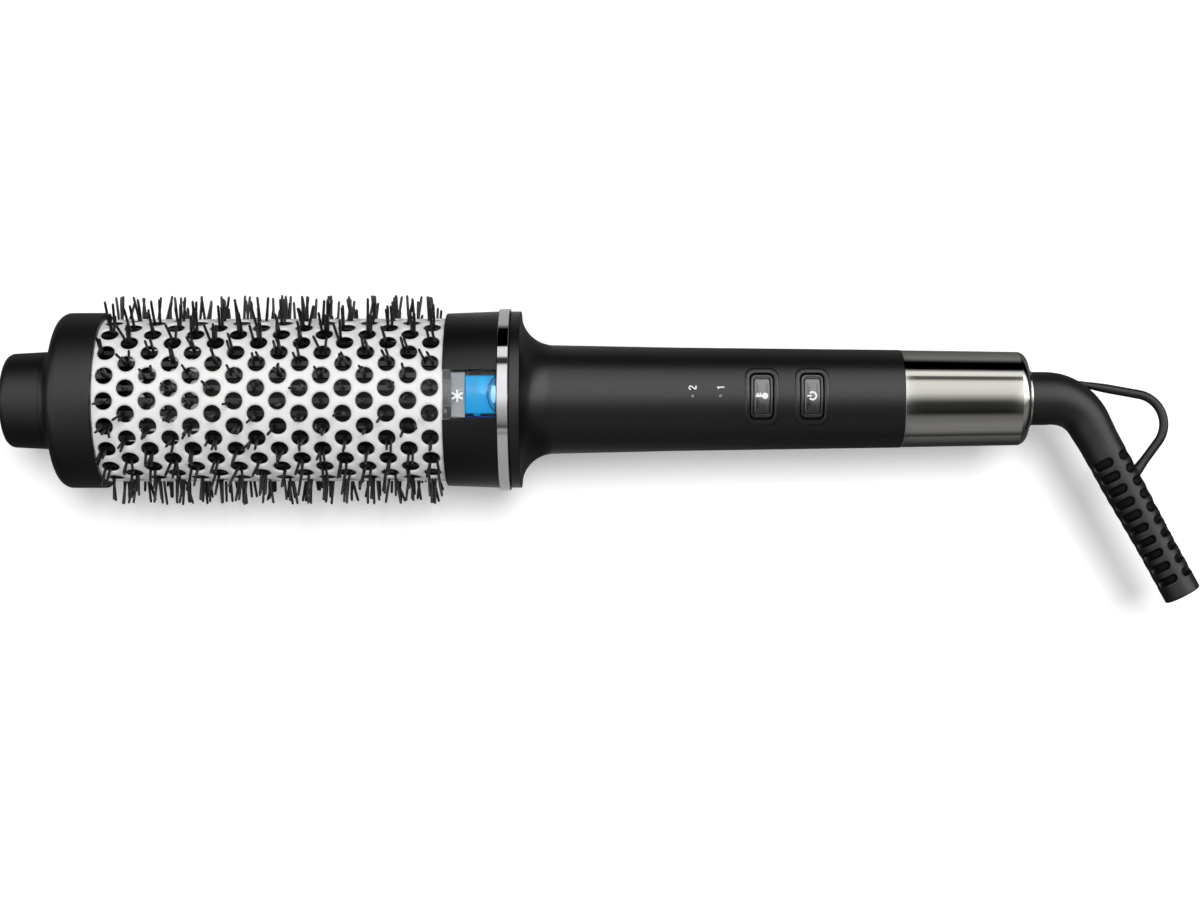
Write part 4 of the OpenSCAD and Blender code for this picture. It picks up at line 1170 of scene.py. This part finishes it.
def build_marks():
    """Icons on the keys, the digits 1 and 2, and the two indicator lenses."""
    key_mark("power_ring", "power_key", arc_points(0.03, 0, 1.12, -138, 138, 24), 0.55)
    key_mark("power_bar", "power_key", [(-1.55, 0), (-0.25, 0)], 0.5)

    heat_x = KEY_CENTRES["temperature"]
    flat_piece(
        "thermometer_bulb", disc(heat_x + 0.95, 0, 0.98, 0.98), handle_r(heat_x) + KEY_INK,
        WHITE_INK, "temperature_key",
    )
    key_mark("thermometer_stem", "temperature_key", [(-1.9, 0), (0.6, 0)], 0.72)
    for i, x in enumerate((-1.3, -0.5)):
        key_mark("thermometer_tick_%d" % i, "temperature_key", [(x, 0.3), (x, 0.95)], 0.4)

    # Digits read from the side of the brush: their tops point to the cool tip
    digits = (("digit_two", DIGIT_TWO), ("digit_one", DIGIT_ONE))
    for i, (x, (name, stroke)) in enumerate(zip(LIGHT_XS, digits)):
        print_r = handle_r(x) + PRINT
        line = [(x - up, DIGIT_Y + right) for up, right in stroke]
        ribbon(name, line, 0.38, print_r, WHITE_INK, thick=0.1)
        lens = flat_piece(
            "indicator_lens_%d" % (i + 1), disc(x, 0, LENS_R, LENS_R), print_r,
            PALE_LENS, thick=1.5,
        )
        if i == 0:
            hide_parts("light_pipes")


# ---------------- rear sleeve and socket

SLEEVE_BORE_R = 13.5
SLEEVE_REAR_R = 14.35
SLEEVE_EDGE_R = 2.8
SLEEVE_LIP = 0.7
SOCKET_R, SOCKET_BORE_R = 9.2, 8.35
SOCKET_FLANGE_R, STEM_R = 11.95, 4


def build_sleeve():
    """The gunmetal sleeve with its round rear edge, and the socket's rim inside it."""
    lip_r = SLEEVE_REAR_R - SLEEVE_EDGE_R
    lathe_piece(
        "gunmetal_sleeve",
        [
            (SLEEVE.x0, SLEEVE_BORE_R, 0), (SLEEVE.x0, SLEEVE.r, 0.14),
            (SLEEVE.x1, SLEEVE_REAR_R, SLEEVE_EDGE_R), (SLEEVE.x1, lip_r, 0.05),
            (SLEEVE.x1 - SLEEVE_LIP, lip_r, 0), (SLEEVE.x1 - SLEEVE_EDGE_R, SLEEVE_BORE_R, 0),
        ],
        "gunmetal", GUNMETAL, "rear_sleeve", step_deg=4, segments=256,
    )
    lathe_piece(
        "cord_socket",
        [
            (SOCKET.x0, STEM_R, 0), (SOCKET.x0, SOCKET_FLANGE_R, 0),
            (SOCKET_SEAT, SOCKET_FLANGE_R, 0), (SOCKET_SEAT, SOCKET_R, 0),
            (SOCKET.x1, SOCKET_R, 0.35), (SOCKET.x1, SOCKET_BORE_R, 0.2),
            (SOCKET_SEAT, SOCKET_BORE_R, 0), (SOCKET_SEAT, STEM_R, 0),
        ],
        "dark_parts", RIM_METAL, "swivel_socket",
    )


# ---------------- cord boot with its loop

UP = Vector((0, 0, 1))
BOOT_R = 8.2
LEG_START_R = 6.75
LEG_NECK_S, LEG_NECK_R = 8.0, 6.32
LEG_END_R = 5.75
LEG_EDGE_R = 0.45
LEG_LEN = 60.0
BEND_X = 319.9
BEND_R = 14.5
BEND_DEG = 61.7
SLOTS_START = 13.25
SLOT_RINGS = 10
SLOT_PITCH = 4.47
SLOT_L, SLOT_W = 7.0, 2.4
SLOT_TURN = 36
# The first rings of slots are grooves round shallow floors, the others are deep
GROOVE_DEPTH, GROOVE_FLOOR = 0.5, 0.4
SLOT_DEPTH = 1.5
# Slots' floors deeper than this get the duller black
SLOT_SHADE_DEPTH = 0.36
CORD_MOUTH_R = 3.6
CORD_MOUTH = 12.0
LOOP_R, LOOP_ROOT_R, LOOP_FLARE = 1.4, 0.8, 0.3
LOOP_ROOT, LOOP_FLARE_LEN = 12, 5.5


class Path:
    """A flat line in the plane z = 0: a straight, a bend towards -Y and another straight."""

    def __init__(self, start, heading_deg, lead, bend_r, bend_deg, tail):
        self.start = Vector((*start, 0))
        self.heading = math.radians(heading_deg)
        self.lead, self.bend_r, self.turn = lead, bend_r, math.radians(bend_deg)
        self.tail_start = lead + bend_r * self.turn
        self.length = self.tail_start + tail

    def at(self, s):
        """Point and direction at distance s."""
        turned = min(max((s - self.lead) / self.bend_r, 0), self.turn)
        ahead = Vector((math.cos(self.heading), math.sin(self.heading), 0))
        left = UP.cross(ahead)
        point = self.start + ahead * (min(s, self.lead) + self.bend_r * math.sin(turned))
        point -= left * self.bend_r * (1 - math.cos(turned))
        angle = self.heading - turned
        ahead = Vector((math.cos(angle), math.sin(angle), 0))
        return point + ahead * max(s - self.tail_start, 0), ahead


def smooth(a, b, t):
    """0 before a, 1 after b and a soft step between."""
    t = min(max((t - a) / (b - a), 0), 1)
    return t * t * (3 - 2 * t)


def leg_r(leg_s):
    """Radius of the straight leg: it narrows behind the bend and again past the slots' middle."""
    narrowed = LEG_START_R + (LEG_NECK_R - LEG_START_R) * smooth(-1, LEG_NECK_S, leg_s)
    return narrowed + (LEG_END_R - LEG_NECK_R) * smooth(0.3 * LEG_LEN, 0.75 * LEG_LEN, leg_s)


def slot_dent(leg_s, around):
    """How deep the leg's surface lies below its round form at a place on it."""
    deep = 0.0
    for ring in range(SLOT_RINGS):
        along = leg_s - SLOTS_START - ring * SLOT_PITCH
        if abs(along) > SLOT_PITCH / 2:
            continue
        for i in range(4):
            off = (around - math.radians(SLOT_TURN + 90 * i) + math.pi) % (2 * math.pi) - math.pi
            across = max(abs(off * leg_r(leg_s)) - (SLOT_L - SLOT_W) / 2, 0)
            # Distance from the slot's edge, below zero inside it
            d = math.hypot(along, across) - SLOT_W / 2
            if ring < SLOT_RINGS / 2:
                groove = math.exp(-((d + 0.05) / 0.24) ** 2)
                deep = max(deep, GROOVE_DEPTH * groove + GROOVE_FLOOR * smooth(0.1, -0.2, d))
            else:
                deep = max(deep, SLOT_DEPTH * smooth(0.14, -0.42, d))
                # A low rim stands round each deep slot
                deep -= 0.1 * math.exp(-((d - 0.32) / 0.2) ** 2)
    return deep


def sweep(path, stations, sides, dent=None):
    """A tube along a path. Stations are (distance, radius); dent lowers the surface."""
    verts, faces = [], []
    for s, r in stations:
        point, ahead = path.at(s)
        left = UP.cross(ahead)
        for k in range(sides):
            a = 2 * math.pi * k / sides
            depth = dent(s, a) if dent else 0
            verts.append(point + (UP * math.cos(a) - left * math.sin(a)) * (r - depth))
    n = len(stations)
    for i in range(n - 1):
        for k in range(sides):
            m = (k + 1) % sides
            faces.append([i * sides + k, (i + 1) * sides + k, (i + 1) * sides + m, i * sides + m])
    faces.append(list(range(sides)))
    faces.append([(n - 1) * sides + k for k in range(sides)][::-1])
    return verts, faces


def darken_slots(boot, leg_origin, ahead):
    """Gives the floors of the slots a duller black, since little light reaches them."""
    boot.data.materials.append(SLOT_BLACK)
    left = UP.cross(ahead)
    for face in boot.data.polygons:
        spot = face.center / MM - leg_origin
        leg_s = spot.dot(ahead)
        off_axis = spot - ahead * leg_s
        around = math.atan2(-off_axis.dot(left), off_axis.z)
        if 0 < leg_s < LEG_LEN - 1 and slot_dent(leg_s, around) > SLOT_SHADE_DEPTH:
            face.material_index = 1


def build_boot():
    """The bent boot in one skin: the outside with its slots, the lip and the cord's mouth."""
    start_x = BOOT.x0 + 0.05
    path = Path((start_x, 0), 0, BEND_X - start_x, BEND_R, BEND_DEG, LEG_LEN)
    leg_start = path.tail_start
    sides = 176

    def outer_r(s):
        if s < leg_start:
            return BOOT_R + (LEG_START_R - BOOT_R) * smooth(path.lead - 2, leg_start + 1.5, s)
        return leg_r(s - leg_start)

    def dent(s, around):
        leg_s = s - leg_start
        slotted = SLOTS_START - 1.5 < leg_s < SLOTS_START + SLOT_RINGS * SLOT_PITCH - 2.5
        return slot_dent(leg_s, around) if slotted else 0

    plain_end, edge_start = leg_start + SLOTS_START - 2, path.length - LEG_EDGE_R
    outside = [(s, outer_r(s)) for s in evenly(0, plain_end, 60)]
    outside += [(s, outer_r(s)) for s in evenly(plain_end, edge_start, 230)[1:]]
    for a in evenly(0, math.pi / 2, 4)[1:]:
        outside.append((
            edge_start + LEG_EDGE_R * math.sin(a), LEG_END_R - LEG_EDGE_R * (1 - math.cos(a))
        ))
    mouth = [
        (path.length, CORD_MOUTH_R + 0.25), (path.length - 0.08, CORD_MOUTH_R + 0.08),
        (path.length - 0.3, CORD_MOUTH_R), (path.length - CORD_MOUTH, CORD_MOUTH_R),
    ]
    outer_verts, outer_faces = sweep(path, outside, sides, dent)
    inner_verts, inner_faces = sweep(path, mouth, sides)
    # The two skins lose the ends where they meet, and a lip joins them there
    del outer_faces[-1], inner_faces[-2]
    verts, faces = join([(outer_verts, outer_faces), (inner_verts, inner_faces)])
    faces += band(len(outer_verts) - sides, len(outer_verts), sides)
    for face in faces[-sides:]:
        face.reverse()
    boot = make_piece(
        "boot", verts, faces, BOOT_RUBBER, ["cord_boot"], SWIVEL, 60, MERGE
    )
    darken_slots(boot, *path.at(leg_start))


def build_hanging_loop():
    """The loop that leaves the boot, turns back and runs into the leg."""
    loop = Path((327.5, 5), -10.4, 21.2, 9.2, 116.4, 11.8)

    def loop_r(s):
        """Thin inside the boot, then even, and a little thicker where it comes back."""
        root = LOOP_ROOT_R + (LOOP_R - LOOP_ROOT_R) * smooth(0, LOOP_ROOT, s)
        return root + LOOP_FLARE * smooth(loop.length - LOOP_FLARE_LEN, loop.length, s)

    verts, faces = sweep(loop, [(s, loop_r(s)) for s in evenly(0, loop.length, 150)], 40)
    make_piece("hanging_loop", verts, faces, BOOT_RUBBER, (), SWIVEL, 60, MERGE)


# ---------------- finishes of the CAD pieces

FINISHES = {
    STEEL: ("tip_screw", "collar_screws", "shell_screws", "board_screws", "motor_can",
            "motor_shaft", "ion_needle", "retaining_clip", "thermal_fuse"),
    CAP_BLACK: ("front_strip_ring", "rear_strip_ring"),
    MICA_IN_PAINTED_SHADE: ("mica_tube", "heater_frame"),
    WIRE_ALLOY: ("heater_coil",),
    HEAT_PLASTIC: ("heater_base", "swivel_plug", "contact_block", "power_plunger",
                   "temperature_plunger"),
    DARK_EPOXY: ("thermostat", "tactile_switches", "board_components", "ion_generator"),
    LED_WHITE: ("indicator_leds",),
    BOARD: ("control_board",),
    FERRITE: ("motor_magnets", "carbon_brushes"),
    FAN_BLACK: ("motor_end_bell", "impeller", "fan_duct", "inlet_grille"),
    BRASS: ("shaft_bearings", "contact_rings", "contact_fingers"),
    LAMINATED: ("armature",),
    COPPER: ("rotor_windings", "commutator", "cord_conductors"),
    FILTER: ("inlet_filter",),
    CORD_RUBBER: ("power_cord",),
    WIRE_RED: ("wire_harness",),
}


def finish_cad_pieces():
    """Gives the pieces that are shown as the CAD has them their materials."""
    for material, names in FINISHES.items():
        for name in names:
            mesh = frame["nodes"][name].data
            mesh.materials.clear()
            mesh.materials.append(material)


# ---------------- studio

# What polished and satin surfaces see: (degrees from straight above towards +Y, brightness).
# The chrome ring, the rear sleeve and the end cap each look into their own part of the studio.
RING_CARDS = (
    (-97, 0.3), (-50, 0.35), (-46, 0.2), (-42, 0.33), (-38, 0.06), (-30, 0.23), (-15, 0.4),
    (0, 0.8), (27, 0.87), (40, 0.75), (43, 0.03), (50, 0.03), (53, 0.75), (66, 0.75), (67, 0.0),
    (98, 0.0), (107, 0.35),
)
SLEEVE_CARDS = (
    (-140, 0.02), (-110, 0.09), (-102, 0.02), (-88, 0.15), (-70, 0.17), (-48, 0.11), (-38, 0.01),
    (-14, 0.03), (-9, 0.08), (1, 0.33), (10, 0.57), (20, 0.65), (35, 0.69), (40, 0.55), (44, 0.08),
    (51, 0.08), (54, 0.71), (63, 0.77), (67, 0.28), (71, 0.0), (95, 0.0), (109, 0.16), (143, 0.08),
)
SATIN_CARDS = (
    (-180, 0.1), (-100, 0.05), (-80, 0.1), (-60, 0.3), (-20, 0.3), (-8, 1.2), (8, 3.0),
    (52, 3.0), (64, 1.0), (74, 0.0), (104, 0.0), (120, 0.15), (180, 0.1),
)
CAP_CARDS = (
    (-180, 0.1), (-100, 0.05), (-84, 0.08), (-60, 0.25), (-40, 0.7), (-20, 1.1), (0, 1.6),
    (20, 1.9), (40, 1.6), (55, 0.7), (68, 0.1), (76, 0.0), (104, 0.0), (120, 0.2), (180, 0.1),
)
BRIGHTEST = 3.0
SKY_STRENGTH = 0.5
# Behind the floor the camera sees a backdrop as white as the floor itself
BACKDROP_STRENGTH = 1.0
SUN_STRENGTH = 2.15
SUN_SIZE_DEG = 25
SUN_TILT_DEG = (-10, 9, 0)
FLOOR_HALF_M = 9.0
FLOOR_GLOW = 0.17
FLOOR_GAP_M = 0.0002


def build_world():
    """White studio. Glossy surfaces see cards and flags that run along the brush."""
    world = bpy.data.worlds.new("studio")
    bpy.context.scene.world = world
    world.use_nodes = True
    world.node_tree.nodes.clear()
    g = Nodes(world.node_tree)
    toward = g.add("ShaderNodeSeparateXYZ").outputs
    g.link(g.add("ShaderNodeTexCoord").outputs["Generated"], toward["X"].node.inputs[0])
    angle = g.math("ARCTAN2", toward["Y"], toward["Z"])
    around = g.remap(angle, -math.pi, math.pi, 0, 1)

    def cards(stops, mirror=1.0):
        """A ramp of brightness round the brush, made good for how much the mirror absorbs."""
        ramp = g.add("ShaderNodeValToRGB")
        g.link(around, ramp.inputs[0])
        elements = ramp.color_ramp.elements
        elements.remove(elements[-1])
        for i, (degrees, brightness) in enumerate(stops):
            place = (degrees + 180) / 360
            element = elements[0] if i == 0 else elements.new(place)
            element.position = place
            level = brightness / mirror / BRIGHTEST
            element.color = rgba((level, level, level))
        return ramp.outputs["Color"]

    def window(middle, half):
        """1 for directions whose X part is near the middle."""
        away = g.math("ABSOLUTE", g.math("SUBTRACT", toward["X"], middle))
        return g.remap(away, half, half + 0.01, 1, 0)

    seen = g.mix(g.remap(toward["X"], -0.1, -0.2, 0, 1), cards(SATIN_CARDS), cards(CAP_CARDS))
    seen = g.mix(window(-0.045, 0.04), seen, cards(RING_CARDS, CHROME_GREY))
    seen = g.mix(window(0.19, 0.055), seen, cards(SLEEVE_CARDS, GUNMETAL_GREY))
    ray = g.add("ShaderNodeLightPath").outputs
    glossy, plain = g.add("ShaderNodeBackground"), g.add("ShaderNodeBackground")
    g.link(seen, glossy.inputs["Color"])
    glossy.inputs["Strength"].default_value = BRIGHTEST
    plain.inputs["Color"].default_value = (1, 1, 1, 1)
    strength = g.remap(ray["Is Camera Ray"], 0, 1, SKY_STRENGTH, BACKDROP_STRENGTH)
    g.link(strength, plain.inputs["Strength"])
    choose = g.add("ShaderNodeMixShader")
    g.link(ray["Is Glossy Ray"], choose.inputs[0])
    g.link(plain.outputs[0], choose.inputs[1])
    g.link(glossy.outputs[0], choose.inputs[2])
    g.link(choose.outputs[0], g.add("ShaderNodeOutputWorld").inputs["Surface"])


def build_floor(z):
    """A wide pale floor: white to the camera, a grey card to everything it lights."""
    half = FLOOR_HALF_M
    mesh = bpy.data.meshes.new("floor")
    corners = [(-half, -half, z), (half, -half, z), (half, half, z), (-half, half, z)]
    mesh.from_pydata(corners, [], [(0, 1, 2, 3)])
    floor = bpy.data.objects.new("floor", mesh)
    floor.visible_glossy = False
    bpy.context.scene.collection.objects.link(floor)
    g = Graph("pale_floor")
    white = g.mix(g.noise(3, 2), (0.935, 0.935, 0.935), (0.945, 0.945, 0.945))
    seen = g.add("ShaderNodeLightPath").outputs["Is Camera Ray"]
    g.set(
        Base_Color=g.mix(seen, (0.35, 0.35, 0.35), white), Roughness=0.9,
        Specular_IOR_Level=0.0, Emission_Color=(1, 1, 1, 1),
        Emission_Strength=g.remap(seen, 0, 1, 0, FLOOR_GLOW),
    )
    mesh.materials.append(g.material)
    return floor


def build_studio():
    """The floor just under the brush, one broad soft sun and the world."""
    low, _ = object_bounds()
    floor = build_floor(low[2] - FLOOR_GAP_M)
    light = bpy.data.lights.new("sun", "SUN")
    light.energy = SUN_STRENGTH
    light.angle = math.radians(SUN_SIZE_DEG)
    sun = bpy.data.objects.new("sun", light)
    sun.rotation_euler = [math.radians(a) for a in SUN_TILT_DEG]
    sun.visible_glossy = False
    bpy.context.scene.collection.objects.link(sun)
    build_world()


def build_camera():
    """Looks straight down on the keys, tipped a little, with the brush above the middle."""
    distance, tip_deg, roll_deg, width = 0.690, 2.3, -0.12, 0.3696
    target = Vector((0.1821, -0.0156, 0))
    sensor = 36
    camera = bpy.data.cameras.new("camera")
    camera.sensor_width = sensor
    camera.lens = sensor * distance / width
    camera.clip_end = 20
    view = bpy.data.objects.new("camera", camera)
    tip = math.radians(tip_deg)
    view.location = target + Vector((0, -math.sin(tip), math.cos(tip))) * distance
    view.rotation_euler = (tip, 0, math.radians(roll_deg))
    bpy.context.scene.collection.objects.link(view)
    bpy.context.scene.camera = view
    bpy.context.scene.view_settings.view_transform = "Standard"


build_front()
build_barrel()
build_bristles()
build_collar()
build_window()
build_carrier()
build_ion_block()
build_ion_details()
build_asterisk()
build_chrome_ring()
build_handle()
build_keys()
build_marks()
build_sleeve()
build_boot()
build_hanging_loop()
finish_cad_pieces()
build_studio()
build_camera()
